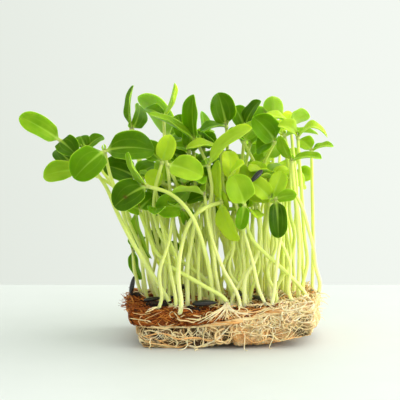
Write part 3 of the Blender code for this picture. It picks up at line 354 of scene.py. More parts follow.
# Foot: x and y on the block. Bends and head: x, y, z. Leaf: from the head to its tip, its width, the way its upper
# side faces and, where it differs, its arch.
NAMED_SPROUTS = [
    # the long ones that lean out at the left
    Sprout((-22, -19), [(-27, -20, 23), (-34, -19, 34), (-40, -17, 44), (-46, -14, 55), (-50, -10, 67),
                        (-61, -6, 80)], (-75, -4, 91),
           [Leaf(-18, -3, 11, 10.5, FRONT_UP, 0.06), Leaf(8, -8, -6, 10, FRONT)]),
    Sprout((-31, -3), [(-35, -4, 35), (-43, -2, 51), (-50, 2, 69)], (-68, 4, 77),
           [Leaf(-16, 0, -3, 10.5, FRONT_UP), Leaf(-14, 5, 6, 9, FRONT)]),
    Sprout((-27, -13), [(-35, -14, 33), (-43, -13, 48), (-48, -12, 62), (-52, -12, 78)], (-52, -12, 87),
           [Leaf(-13, -6, -12, 15, FRONT_UP, 0.12), Leaf(22, 1, 0, 14.5, FRONT_UP, 0.14)]),
    Sprout((-37, 9), [(-40, 10, 40), (-50, 12, 65)], (-65, 13, 86),
           [Leaf(8, 3, 6, 8, UP), Leaf(-3, 5, 6, 7, FRONT)]),
    Sprout((-20, -8), [(-24, -7, 60)], (-28, -4, 101),
           [Leaf(5, 0, 16, 7, EDGE_ON, 0.05), Leaf(-9, 5, 4, 8, UP)]),
    Sprout((-19, 7), [(-34, 8, 44), (-39, 6, 72)], (-43, 4, 96),
           [Leaf(1, -3, 20, 8, FAR_LEFT, 0.08), Leaf(3, 6, 11, 11, RIGHT)]),
    Sprout((-24, 15), [(-28, 16, 46)], (-26, 15, 91),
           [Leaf(-15, 3, 20, 13, BACK_UP, 0.12), Leaf(8, 8, 3, 10, UP)]),
    # the front middle, with long arching stems
    Sprout((-1, -13), [(-5, -14, 26), (-16, -15, 34), (-27, -15, 45), (-32, -15, 58), (-32, -14, 71)],
           (-30, -13, 82), [Leaf(-11, 6, 7, 10, FRONT_UP), Leaf(4, -3, 12, 8.5, FRONT_UP, 0.14)]),
    Sprout((-9, -5), [(-16, -5, 50), (-19, -8, 66)], (-23, -13, 82),
           [Leaf(15, -4, -5, 11.5, FRONT_UP), Leaf(6, 7, -8, 9, UP, 0.12)]),
    Sprout((-23, 1), [(-32, 0, 47)], (-38, -5, 74),
           [Leaf(-15, -4, 6, 13, FRONT_UP, 0.12), Leaf(10, 7, 5, 11, UP, 0.12)]),
    Sprout((-5, -19), [(-7, -20, 32), (-11, -21, 49), (-15, -22, 59), (-20, -23, 65), (-27, -23, 70)],
           (-35, -23, 72), [Leaf(-14, -2, -9, 13.5, FRONT_UP, 0.16), Leaf(-8, -2, 15, 8, FAR_LEFT, 0.06)]),
    Sprout((-21, -25), [(-20, -29, 17), (-20, -29, 24), (-21, -27, 32), (-20, -24, 43), (-17, -22, 54),
                        (-13, -20, 61)], (-3, -16, 64),
           [Leaf(-1, -2, 19, 8, LEFT, 0.06), Leaf(8, -3, -17, 9.5, LEFT)]),
    Sprout((-17, -20), [(-17, -21, 25), (-17, -18, 36), (-15, -14, 48), (-13, -10, 59)], (-7, -6, 66),
           [Leaf(-10, -2, -3, 8.5, UP), Leaf(6, 6, -7, 8, FRONT)]),
    Sprout((3, -23), [(-2, -24, 24), (-12, -23, 29), (-22, -20, 34), (-30, -17, 40), (-35, -14, 50)],
           (-39, -13, 60), [Leaf(-6, -5, 2, 8.5, FRONT_UP), Leaf(7, 5, 6, 9, FRONT_UP)]),
    Sprout((-35, -8), [(-38, -4, 34)], (-41, 0, 59),
           [Leaf(7, 3, -23, 10, LEFT), Leaf(6, 9, 1, 9, UP)]),
    Sprout((-37, -1), [(-40, -1, 24), (-42, 0, 32)], (-42, 2, 40),
           [Leaf(4, -1, -14, 7.5, LEFT, 0.05), Leaf(3, 9, 5, 8, UP)]),
    Sprout((-30, 16), [(-31, 17, 27)], (-28, 17, 40),
           [Leaf(-7, -1, 7, 9, FRONT), Leaf(6, 3, -3, 7, FRONT)]),
    Sprout((-13, 13), [(-10, 14, 33)], (-8, 14, 49),
           [Leaf(-6, -3, -7, 8, FRONT), Leaf(7, 3, 6, 9, FRONT_UP)]),
    # the tall middle
    Sprout((3, 2), [(0, 2, 63)], (1, 1, 97),
           [Leaf(-4, -3, 15, 11.5, FRONT, 0.06), Leaf(-12, -1, -3, 9.5, FLAT)]),
    Sprout((-7, -7), [(-5, -7, 46), (-8, -6, 75)], (-13, -5, 91),
           [Leaf(-1, -2, 21, 11.5, LEFT, 0.05), Leaf(-21, -3, 12, 9, FLAT, 0.05)]),
    Sprout((-1, -17), [(-5, -18, 36), (-7, -17, 63)], (-8, -16, 80),
           [Leaf(19, -5, 17, 10, UP), Leaf(-7, 9, -5, 8, UP)]),
    Sprout((7, -7), [(1, -7, 46), (0, -8, 71)], (-1, -9, 86),
           [Leaf(-16, -3, 1, 9, FLAT, 0.16), Leaf(5, 6, -8, 8, RIGHT)]),
    Sprout((9, 7), [(8, 5, 63)], (10, 1, 96),
           [Leaf(7, -2, 13, 9, LEFT), Leaf(-5, 4, 10, 9, FRONT)]),
    Sprout((17, 1), [(17, 1, 61)], (22, 0, 91),
           [Leaf(-10, -3, 11, 12, FRONT, 0.14), Leaf(-8, 6, -4, 9, FRONT_UP)]),
    # the front right, with the round bright leaf and the hanging dark one
    Sprout((40, -13), [(36, -15, 22), (28, -18, 32), (17, -20, 42), (10, -20, 51)], (8, -21, 64),
           [Leaf(-5, -2, 13, 12.5, FRONT), Leaf(-2, -1, -11, 6, FRONT)]),
    Sprout((41, -5), [(40, -9, 32), (37, -13, 51), (33, -16, 64), (28, -19, 69)], (22, -21, 66),
           [Leaf(1, -2, -17, 8.5, FRONT, 0.08), Leaf(9, -3, 2, 6, FRONT_UP)]),
    Sprout((21, -12), [(18, -12, 46)], (20, -13, 66),
           [Leaf(-10, -1, 9, 8.5, FRONT), Leaf(5, 3, 12, 8, FRONT)]),
    Sprout((9, -21), [(8, -22, 27), (10, -21, 34), (15, -17, 42), (15, -12, 56)], (11, -8, 71),
           [Leaf(-9, 2, 9, 9, FRONT_UP), Leaf(6, 5, 10, 9, FRONT_UP)]),
    # the straight backlit ones at the right
    Sprout((23, 13), [(23, 12, 62)], (23, 10, 99),
           [Leaf(-1, 2, 12, 9.5, BACK, 0.05), Leaf(-8, 5, 7, 9, BACK_UP)]),
    Sprout((31, -3), [(32, -4, 64)], (30, -5, 98),
           [Leaf(-12, -3, 4, 9, FLAT, 0.12), Leaf(9, 3, 4, 9, BACK_UP, 0.14)]),
    Sprout((38, -10), [(38, -11, 39), (34, -10, 64)], (32, -9, 93),
           [Leaf(13, -2, 0, 8.5, FLAT, 0.38), Leaf(-9, -2, 5, 10, UP, 0.20)]),
    Sprout((41, 5), [(41, 4, 49)], (39, 2, 86),
           [Leaf(10, -1, 2, 6.5, FLAT), Leaf(-5, 4, 5, 8, FRONT_UP)]),
    Sprout((33, -14), [(33, -14, 47)], (29, -11, 83),
           [Leaf(13, -2, 1, 8.5, FLAT), Leaf(-5, -2, 11, 7, LEFT, 0.06)]),
    Sprout((27, 5), [(27, 4, 56)], (26, 3, 86),
           [Leaf(-10, -4, 1, 10, BACK), Leaf(6, 6, -7, 9, FRONT_UP)]),
    Sprout((38, 11), [(36, 10, 44)], (32, 7, 74),
           [Leaf(9, -4, -1, 8.5, FRONT_UP), Leaf(-5, 5, 6, 8, FRONT_UP)]),
    Sprout((28, -6), [(28, -6, 46)], (27, -5, 73),
           [Leaf(-8, -1, 4, 7.5, UP), Leaf(7, 6, -3, 8, FRONT_UP)]),
    # between them, further back
    Sprout((-14, -9), [(-16, -9, 41)], (-19, -12, 62),
           [Leaf(-12, -4, 0, 11, FRONT, 0.12), Leaf(3, 6, -8, 7, FRONT)]),
    Sprout((-11, 3), [(-13, 2, 45), (-18, -2, 65)], (-28, -4, 72),
           [Leaf(-8, -2, 4, 8, FRONT), Leaf(1, 7, 10, 10, FRONT)]),
    Sprout((-5, 11), [(-10, 12, 39)], (-11, 12, 67),
           [Leaf(-6, -3, 6, 9, FRONT), Leaf(6, 3, 6, 9, FRONT_UP)]),
    Sprout((-1, 9), [(-6, 8, 58)], (-10, 6, 87),
           [Leaf(-1, 1, 17, 8, RIGHT, 0.05), Leaf(5, -3, 7, 7.5, FRONT_UP)]),
    Sprout((-9, 19), [(-13, 18, 54)], (-17, 14, 90),
           [Leaf(-4, 2, 12, 9, FRONT), Leaf(-8, -4, -3, 9, FLAT)]),
    Sprout((-13, 5), [(-13, 4, 56)], (-16, 1, 86),
           [Leaf(-9, -3, 2, 7, UP, 0.12), Leaf(1, 6, 9, 8, FRONT_UP)]),
    Sprout((19, -3), [(22, -3, 57), (17, -2, 76)], (8, -3, 91),
           [Leaf(-7, -4, 4, 8, UP, 0.12), Leaf(9, 5, 7, 10, UP, 0.12)]),
]
print("named sprouts", len(NAMED_SPROUTS))

# %% The rest of the stand, and the hulls
REST_COUNT = 17
REST_TWINS = 9                  # how many of them share the foot of another sprout
REST_SEED = 5
HOST_X, HOST_Y = (-12.0, 30.0), -7.0  # where the feet are that they share, and from which depth on
REST_X = (-36.0, 32.0)
REST_Y = (-6.0, 23.0)
REST_HEIGHT = (66.0, 94.0)
REST_LEAN = (-10.0, 2.0)        # how far a head is to the left or right of its foot
REST_HEAD_X = 27.0              # no head is further to the right
REST_OUT = (3.0, 13.0)          # how far the heads of the back rows lean back
REST_BEND = (0.4, 0.3, 0.55)    # how far the bend is on its way from the foot to the head, in X, Y and Z
REST_SWAY = 3.0                 # and how far it strays to a side
REST_TURN = 0.4                 # how far a leaf strays from lying opposite the other, in radians
REST_RISE = (-0.1, 0.8)         # how steeply a leaf rises, in radians
REST_LENGTH = (14.0, 18.0)
REST_WIDTH = (8.5, 11.0)
REST_TIP = 0.3                  # how far its upper side tips from facing straight up
# Hulls: place, turn about Z and tilt up of the long axis, in degrees, and size against the common one
Hull = namedtuple("Hull", "x y z turn tilt size")
HULLS = [
    Hull(-9.5, -24.0, 19.9, 4, 2, 1.0),
    Hull(-42.4, -8.5, 25.4, 25, 78, 0.75),
    Hull(-33.0, -16.0, 20.2, 20, 6, 0.75),
    Hull(-26.5, -8.5, 19.9, -50, 4, 0.9),
    Hull(6.5, -2.0, 20.5, 70, 8, 0.85),
    Hull(15.0, -16.5, 20.9, 140, 10, 0.7),
    Hull(-20.0, 20.5, 19.8, 165, 4, 0.9),
    Hull(28.5, 20.0, 22.2, 35, 5, 0.8),
]


def rest_of_stand():
    """Sprouts of the back and the middle, each with its foot clear of the feet before it."""
    rng = random.Random(REST_SEED)
    feet = [s.foot for s in NAMED_SPROUTS]
    hosts = [foot for foot in feet if HOST_X[0] < foot[0] < HOST_X[1] and foot[1] > HOST_Y]
    rng.shuffle(hosts)
    rest = []
    while len(rest) < REST_COUNT:
        twin = len(rest) < REST_TWINS
        foot = hosts[len(rest)] if twin else (rng.uniform(*REST_X), rng.uniform(*REST_Y))
        crowded = min(math.dist(foot, other) for other in feet) < FOOT_SPACING
        blocked = min(math.dist(foot, (hull.x, hull.y)) for hull in HULLS) < HULL_SPACING
        if not twin and (crowded or blocked):
            continue
        feet.append(foot)
        back = smooth_step(0, REST_Y[1], foot[1])
        height = rng.uniform(*REST_HEIGHT)
        head_x = min(foot[0] + rng.uniform(*REST_LEAN), REST_HEAD_X)
        head = (head_x, foot[1] + back * rng.uniform(*REST_OUT), height)
        bend = (mix(foot[0], head[0], REST_BEND[0]) + rng.uniform(-REST_SWAY, REST_SWAY),
                mix(foot[1], head[1], REST_BEND[1]), height * REST_BEND[2])
        heading = rng.uniform(0, math.tau)
        leaves = []
        for side in (0, math.pi):
            turn = heading + side + rng.uniform(-REST_TURN, REST_TURN)
            rise = rng.uniform(*REST_RISE)
            length = rng.uniform(*REST_LENGTH)
            reach = length * math.cos(rise)
            face = (REST_TIP * rng.uniform(-1, 1), REST_TIP * rng.uniform(-1, 1), 1.0)
            leaves.append(Leaf(reach * math.cos(turn), reach * math.sin(turn), length * math.sin(rise),
                               rng.uniform(*REST_WIDTH), face))
        rest.append(Sprout(foot, [bend], head, leaves, twin))
    return rest


# %% Routes of the stems
CURVE_STEPS = 24
TINY = 1e-6


def smooth_path(points, count):
    """Points at even steps along a Catmull-Rom curve through the given ones."""
    points = np.array(points, float)
    ends = np.vstack([2 * points[0] - points[1], points, 2 * points[-1] - points[-2]])
    fine = []
    for a, b, c, d in zip(ends, ends[1:], ends[2:], ends[3:]):
        for t in np.linspace(0, 1, CURVE_STEPS, endpoint=False):
            fine.append(0.5 * (2 * b + (c - a) * t + (2 * a - 5 * b + 4 * c - d) * t * t
                               + (3 * b - a - 3 * c + d) * t ** 3))
    fine = np.array(fine + [points[-1]])
    along = np.concatenate([[0], np.cumsum(np.linalg.norm(np.diff(fine, axis=0), axis=1))])
    steps = np.linspace(0, along[-1], count)
    return np.stack([np.interp(steps, along, fine[:, k]) for k in range(3)], axis=1)


def stem_route(sprout):
    """A stem's points: its foot in the block, the end of its straight stretch, and even steps to its head."""
    x, y = sprout.foot
    foot = np.array((x, y, block_top(x, y) - FOOT_DEPTH))
    aim = np.array(sprout.bends[0], float) - foot
    aim[2] = max(aim[2], FOOT_SLOPE * math.hypot(aim[0], aim[1]))
    knee = foot + FOOT_LENGTH * aim / np.linalg.norm(aim)
    later = [b for b in sprout.bends if b[2] > knee[2] + BEND_ABOVE]
    if sprout.twin:
        foot = mix(foot, knee, TWIN_START)
        side = np.array((sprout.head[1] - y, x - sprout.head[0], 0.0))
        knee = knee + side / np.linalg.norm(side) * TWIN_APART
    return np.vstack([foot, smooth_path([knee] + later + [sprout.head], STEM_POINTS - 1)])


def leaf_frame(leaf):
    """A leaf's length and its directions: along the midrib, across it, and out of its upper side."""
    along = np.array((leaf.dx, leaf.dy, leaf.dz), float)
    length = np.linalg.norm(along)
    along = along / length
    normal = np.array(leaf.face, float)
    normal = normal - normal.dot(along) * along
    normal = normal / np.linalg.norm(normal)
    return length, along, np.cross(normal, along), normal


def leaf_half_width(leaf, t):
    """The cotyledon's outline: a short stalk that opens into a long oval."""
    if t < LEAF_WIDEST:
        share = math.sqrt(max(0.0, 1 - ((LEAF_WIDEST - t) / LEAF_WIDEST) ** LEAF_ROUND[0]))
    else:
        share = math.sqrt(max(0.0, 1 - ((t - LEAF_WIDEST) / (1 - LEAF_WIDEST)) ** LEAF_ROUND[1]))
    blade = leaf.width / 2 * share * smooth_step(*LEAF_OPENS, t)
    return max(blade, LEAF_NECK * (1 - t) ** NECK_POWER, LEAF_LEAST)


def leaf_point(leaf, t, v):
    """A point of the leaf's middle surface from the head, t along the midrib and v across it, -1 to 1."""
    length, along, across, normal = leaf_frame(leaf)
    half = leaf_half_width(leaf, t)
    bow = leaf.arch * length * 4 * t * (1 - t)
    rise = LEAF_CUP * half * v * v
    return along * (length * t) + across * (half * v) + normal * (bow + rise)


# %% [markdown]
# The layout treats stems, leaves and hulls as rows of small balls that push each other apart, mostly in depth, for
# a few hundred rounds. It takes a few seconds.

# %% Lay out the stand
SAMPLE_GAP = 0.8                # clear space that the balls are pushed to
PUSH_SHARE = np.array((0.35, 1.0, 0.12))  # how much of a push goes along X, Y and Z
HOLD = np.array((0.02, 0.0, 0.02))  # how firmly a named sprout keeps its place, seen from the front
RELAX_ROUNDS = 400
LAYOUT_DIGITS = 4               # decimals kept after each round, so that tiny errors don't grow
RENEW = 6                       # rounds between two searches for neighbours
SEARCH_MARGIN = 1.6
STEM_BALLS = 7                  # balls on each stretch of a stem
STEM_BALL = STEM_RADIUS + 0.1
LEAF_BALL = 0.95
LEAF_STEP = 1.7                 # distance between the balls of a leaf
LEAF_ROWS_LEAST = 6
LEAF_BALL_SPAN = (0.05, 0.97)   # where along the midrib they start and end
LEAF_BALL_SIDE = 0.93           # how far across they reach, as a share of the half width
HULL_BALLS = (-0.38, -0.2, 0.0, 0.2, 0.38)  # places along a hull
HULL_BALL_TAPER = 1.3           # how much smaller they get towards its ends
HULL_BALL_MARGIN = 0.5
MOVE_SHARE = 0.8                # how much of its push a point follows in one round
NEIGHBOUR_SHARE = 0.35          # and how much of its neighbours' pushes
KNEE_SHARE = 0.25               # the top of the straight stretch gives way less
KNEE_REST = 0.3                 # the share of the next stretch that the ground doesn't lift
GROUND_HALF = (44.0, 29.0)      # the block's top is the ground within this half width and half depth
GROUND_GAP = 0.2


def sample_sprouts(sprouts):
    """Small balls along every stem and over every leaf, each hung on one or two of its stem's points."""
    rows = []
    last = STEM_POINTS - 1
    for number, sprout in enumerate(sprouts):
        for k in range(1, last):
            for step in range(STEM_BALLS):
                rows.append((number, k, step / STEM_BALLS, (0, 0, 0), STEM_BALL))
        for leaf in sprout.leaves:
            length = leaf_frame(leaf)[0]
            for t in np.linspace(*LEAF_BALL_SPAN, max(LEAF_ROWS_LEAST, round(length / LEAF_STEP))):
                across = max(1, round(2 * leaf_half_width(leaf, t) / LEAF_STEP))
                for v in ([0] if across == 1 else np.linspace(-LEAF_BALL_SIDE, LEAF_BALL_SIDE, across + 1)):
                    rows.append((number, last, 0.0, tuple(leaf_point(leaf, t, v)), LEAF_BALL))
    owner, knot, share, offset, radius = zip(*rows)
    return np.array(owner), np.array(knot), np.array(share), np.array(offset), np.array(radius)


def near_pairs(places, owner, reach):
    """Pairs of balls of different owners that are within reach of each other."""
    tree = KDTree(len(places))
    for index, place in enumerate(places):
        tree.insert(place, index)
    tree.balance()
    pairs = []
    for index, place in enumerate(places):
        for _, other, _ in tree.find_range(place, reach):
            if other > index and owner[other] != owner[index]:
                pairs.append((index, other))
    return np.array(pairs).T if pairs else np.zeros((2, 0), int)


def pushes(places, radius, first, second):
    """The pairs that are too close, and the way that the first ball of each has to move."""
    between = places[first] - places[second]
    away = np.linalg.norm(between, axis=1)
    short = radius[first] + radius[second] + SAMPLE_GAP - away
    close = short > 0
    push = between[close] / np.maximum(away[close], TINY)[:, None] * PUSH_SHARE
    push *= (short[close] / np.maximum(np.linalg.norm(push, axis=1), TINY))[:, None]
    return first[close], second[close], push


def hull_balls():
    """Balls that fill the hulls, which the stems are bent clear of."""
    places, radii = [], []
    for hull in HULLS:
        turn, tilt = math.radians(hull.turn), math.radians(hull.tilt)
        along = np.array((math.cos(turn) * math.cos(tilt), math.sin(turn) * math.cos(tilt), math.sin(tilt)))
        for share in HULL_BALLS:
            places.append(np.array((hull.x, hull.y, hull.z)) + along * (share * HULL_LENGTH * hull.size))
            half = hull.size * HULL_WIDTH / 2
            radii.append(half * (1 - HULL_BALL_TAPER * abs(share)) + HULL_BALL_MARGIN)
    return np.array(places), np.array(radii)


def ground_under(places):
    """The height of the block's top under each place, or of the table beside the block."""
    return np.array([block_top(x, y) if abs(x) < GROUND_HALF[0] and abs(y) < GROUND_HALF[1] else 0.0
                     for x, y in places[:, :2]])


def lay_out(sprouts):
    """Bends stems and shifts heads, mostly in depth, until no two sprouts touch."""
    start = np.array([stem_route(s) for s in sprouts])
    routes = start.copy()
    owner, knot, share, offset, radius = sample_sprouts(sprouts)
    following = np.minimum(knot + 1, STEM_POINTS - 1)
    at_foot = (knot == 1) & (share < KNEE_REST)
    hull_places, hull_radii = hull_balls()
    all_radii = np.concatenate([radius, hull_radii])
    all_owners = np.concatenate([owner, np.full(len(hull_places), -1)])
    named = slice(0, len(NAMED_SPROUTS))
    for turn in range(RELAX_ROUNDS):
        low, high = routes[owner, knot], routes[owner, following]
        places = mix(low, high, share[:, None]) + offset
        everything = np.vstack([places, hull_places])
        if turn % RENEW == 0:
            ground = ground_under(places)
            first, second = near_pairs(everything, all_owners, 2 * STEM_RADIUS + SAMPLE_GAP + SEARCH_MARGIN)
        shift = np.zeros_like(routes)
        weight = np.zeros(routes.shape[:2])
        one, two, push = pushes(everything, all_radii, first, second)
        for ball, move in ((one, push / 2), (two, -push / 2)):
            live = ball < len(owner)
            ball, move = ball[live], move[live]
            for which, part in ((knot, 1 - share), (following, share)):
                np.add.at(shift, (owner[ball], which[ball]), move * part[ball][:, None])
                np.add.at(weight, (owner[ball], which[ball]), part[ball])
        rise = np.maximum(ground + radius + GROUND_GAP - places[:, 2], 0)
        rise[at_foot] = 0
        np.add.at(shift[:, :, 2], (owner, knot), rise)
        np.add.at(weight, (owner, knot), (rise > 0).astype(float))
        shift /= np.maximum(weight, 1.0)[:, :, None]
        shift[:, 0] = 0
        shift[:, 1] *= KNEE_SHARE
        spread = shift.copy()
        spread[:, 1:-1] += NEIGHBOUR_SHARE * (shift[:, :-2] + shift[:, 2:])
        routes += MOVE_SHARE * spread
        routes[named, 2:] += HOLD * (start[named, 2:] - routes[named, 2:])
        routes = np.round(routes, LAYOUT_DIGITS)
    return routes


SPROUTS = NAMED_SPROUTS + rest_of_stand()
ROUTES = lay_out(SPROUTS)
print("routes", ROUTES.shape, "highest head", round(ROUTES[:, -1, 2].max(), 1), "mm")

# %% [markdown]
# ## Templates and pieces
# Everything that repeats is a bent copy of a simple form: a stem, a root or a fibre is a bent cylinder, and a leaf is
# a bent grid with a back. Each form is made once with Blender's operators. To stamp a copy, its points are moved by
# a formula and the mesh is added to the piece. Values such as the place along a stem go with each point, as mesh
# attributes that the finishes read.

# %% Templates
Template = namedtuple("Template", "mesh x y z ring")


def as_template(bm, rings=0):
    """A mesh with its own coordinates kept as arrays, and the ring that each point is on."""
    mesh = bpy.data.meshes.new("template")
    bm.to_mesh(mesh)
    bm.free()
    places = np.empty(len(mesh.vertices) * 3, np.float32)
    mesh.vertices.foreach_get("co", places)
    x, y, z = places.astype(float).reshape(-1, 3).T
    return Template(mesh, x, y, z, np.round((z + 0.5) * (rings - 1)).astype(int) if rings else None)


def tube_template(sides, rings):
    """A closed cylinder, one high and of radius one, cut into rings."""
    bm = bmesh.new()
    bmesh.ops.create_cone(bm, cap_ends=True, segments=sides, radius1=1, radius2=1, depth=1)
    upright = [e for e in bm.edges if abs(e.verts[0].co.z - e.verts[1].co.z) > 0.5]
    bmesh.ops.subdivide_edges(bm, edges=upright, cuts=rings - 2, use_grid_fill=True)
    return as_template(bm, rings)


def blade_template(columns, rows):
    """A grid from -1 to 1 with a back, closed all round: the front is at z 0.5 and the back at -0.5."""
    bm = bmesh.new()
    bmesh.ops.create_grid(bm, x_segments=columns, y_segments=rows, size=1)
    bmesh.ops.solidify(bm, geom=bm.faces[:], thickness=1.0)
    middle = sum(vert.co.z for vert in bm.verts) / len(bm.verts)
    for vert in bm.verts:
        vert.co.z = 0.5 if vert.co.z > middle else -0.5
    if bm.calc_volume(signed=True) < 0:
        bmesh.ops.reverse_faces(bm, faces=bm.faces[:])
    return as_template(bm)


STEM = tube_template(12, 46)
ROOTLET = tube_template(6, 14)
FIBRE = tube_template(3, 5)
BLADE = blade_template(16, 28)
BUD = blade_template(6, 8)
print("blade faces", len(BLADE.mesh.polygons), "stem faces", len(STEM.mesh.polygons))


# %% Pieces
class Piece:
    """A mesh that grows by stamping bent copies of templates, and keeps the values of each point."""

    def __init__(self, *names):
        self.bm = bmesh.new()
        self.names = names
        self.values = defaultdict(list)
        self.faces = []

    def stamp(self, template, places, finish=0, **values):
        template.mesh.vertices.foreach_set("co", (places * MM).astype(np.float32).ravel())
        self.bm.from_mesh(template.mesh, face_normals=False, vertex_normals=False)
        for name in self.names:
            self.values[name].append(np.broadcast_to(values.get(name, 0.0), len(places)))
        self.faces.append(np.full(len(template.mesh.polygons), finish))

    def done(self, name, finishes, node=None):
        """Makes the object, gives it its finishes, and lets it ride on the one body."""
        mesh = bpy.data.meshes.new(name)
        self.bm.to_mesh(mesh)
        self.bm.free()
        for value_name in self.names:
            column = np.concatenate(self.values[value_name]).astype(np.float32)
            mesh.attributes.new(value_name, "FLOAT", "POINT").data.foreach_set("value", column)
        for finish in finishes:
            mesh.materials.append(finish)
        mesh.polygons.foreach_set("material_index", np.concatenate(self.faces).astype(np.int32))
        mesh.shade_smooth()
        return place_piece(name, mesh, node)


def place_piece(name, mesh, node=None):
    """Links an object for a mesh, which rides on the body and may stand for a node of the model."""
    obj = bpy.data.objects.new(name, mesh)
    scene.collection.objects.link(obj)
    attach(obj, "root")
    if node:
        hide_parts(node)
    return obj


def tube_places(template, path, radii):
    """Places of a cylinder's points when it is bent along a path, without twist."""
    heading = np.gradient(path, axis=0)
    heading /= np.maximum(np.linalg.norm(heading, axis=1), TINY)[:, None]
    side = np.empty_like(path)
    across = np.eye(3)[np.argmin(np.abs(heading[0]))]
    for k, ahead in enumerate(heading):
        across = across - ahead * across.dot(ahead)
        across = across / max(np.linalg.norm(across), TINY)
        side[k] = across
    third = np.cross(heading, side)
    ring = template.ring
    out = template.x[:, None] * side[ring] + template.y[:, None] * third[ring]
    return path[ring] + np.asarray(radii)[ring][:, None] * out


def bent_path(points, count):
    """Points at even values of a curve with one or more bends, by repeated mixing (Bezier)."""
    t = np.linspace(0, 1, count)[:, None]
    rows = [np.broadcast_to(np.array(p, float), (count, 3)) for p in points]
    while len(rows) > 1:
        rows = [a * (1 - t) + b * t for a, b in zip(rows, rows[1:])]
    return rows[0]


# %% [markdown]
# ## The root mat
# The mat is thousands of roots grown together, cream where they are young and orange-tan where they took up colour
# from the coir. A block with a picture of roots would look flat from the side, and real strands all the way in
# would be too many. So a felt body fills the block, bulging and with hollows whose shade is painted on in dark
# brown, and several hundred strands wind over it, sunk in at their ends.

# %% Finish of the felt and the strands
# the dark brown colour is painted shade, for the felt's hollows and its left end
ROOT_CREAM, ROOT_TAN, ROOT_PAINTED_SHADE, ROOT_WHITE = linear("FFE6B0"), linear("F4AE62"), linear("3E200E"), linear("FFF0CC")


def felt_finish():
    """Felted roots: winding threads about 1 mm apart, tan in patches, with painted shade in dark brown where the
    relief is low, between the threads and over the left end.
    """
    made, tree = new_finish("root_felt")
    place = add(tree, "ShaderNodeTexCoord").outputs["Object"]
    relief = add(tree, "ShaderNodeAttribute", attribute_name="relief").outputs["Fac"]
    winding = add(tree, "ShaderNodeTexNoise", {
        "Vector": place, "Scale": 600.0, "Detail": 2.0, "Distortion": 2.4}).outputs[0]
    off = add(tree, "ShaderNodeMath", {0: winding, 1: 0.5}, operation="SUBTRACT").outputs[0]
    off = add(tree, "ShaderNodeMath", {0: off}, operation="ABSOLUTE").outputs[0]
    thread = add(tree, "ShaderNodeMapRange", {0: off, 1: 0.0, 2: 0.08, 3: 0.8, 4: 0.0}).outputs[0]
    patches = add(tree, "ShaderNodeTexNoise", {"Vector": place, "Scale": 110.0, "Detail": 3.0}).outputs[0]
    tan = add(tree, "ShaderNodeMapRange", {0: patches, 1: 0.36, 2: 0.60}).outputs[0]
    colour = add(tree, "ShaderNodeMix", {0: tan, 6: ROOT_CREAM, 7: ROOT_TAN}, data_type="RGBA").outputs[2]
    # painted shade in dark brown: where the relief is low, in the gaps between the threads, and over the whole left
    # end, where the threads are hidden
    low = add(tree, "ShaderNodeMapRange", {0: relief, 1: -1.9, 2: -0.1, 3: 1.0, 4: 0.0}).outputs[0]
    gaps = add(tree, "ShaderNodeMapRange", {0: off, 1: 0.07, 2: 0.2, 3: 0.0, 4: 0.4}).outputs[0]
    painted_shade = add(tree, "ShaderNodeMath", {0: low, 1: gaps}, operation="ADD", use_clamp=True).outputs[0]
    x = add(tree, "ShaderNodeSeparateXYZ", {0: place}).outputs[0]
    left = add(tree, "ShaderNodeMapRange", {0: x, 1: -0.014, 2: 0.002, 3: 0.75, 4: 0.0}).outputs[0]
    painted_shade = add(tree, "ShaderNodeMath", {0: painted_shade, 1: left}, operation="ADD", use_clamp=True).outputs[0]
    colour = add(tree, "ShaderNodeMix", {0: painted_shade, 6: colour, 7: ROOT_PAINTED_SHADE}, data_type="RGBA").outputs[2]
    shown = add(tree, "ShaderNodeMath", {0: 1.0, 1: left}, operation="SUBTRACT").outputs[0]
    thread = add(tree, "ShaderNodeMath", {0: thread, 1: shown}, operation="MULTIPLY").outputs[0]
    colour = add(tree, "ShaderNodeMix", {0: thread, 6: colour, 7: ROOT_CREAM}, data_type="RGBA").outputs[2]
    bump = add(tree, "ShaderNodeBump", {"Strength": 0.9, "Distance": 0.0006, "Height": thread}).outputs[0]
    shader = add(tree, "ShaderNodeBsdfPrincipled", {
        "Base Color": colour, "Roughness": 0.75, "Specular IOR Level": 0.2, "Normal": bump, "Subsurface Weight": 0.2,
        "Subsurface Radius": (1.0, 0.6, 0.3), "Subsurface Scale": 0.0010})
    add(tree, "ShaderNodeOutputMaterial", {"Surface": shader.outputs[0]})
    return made


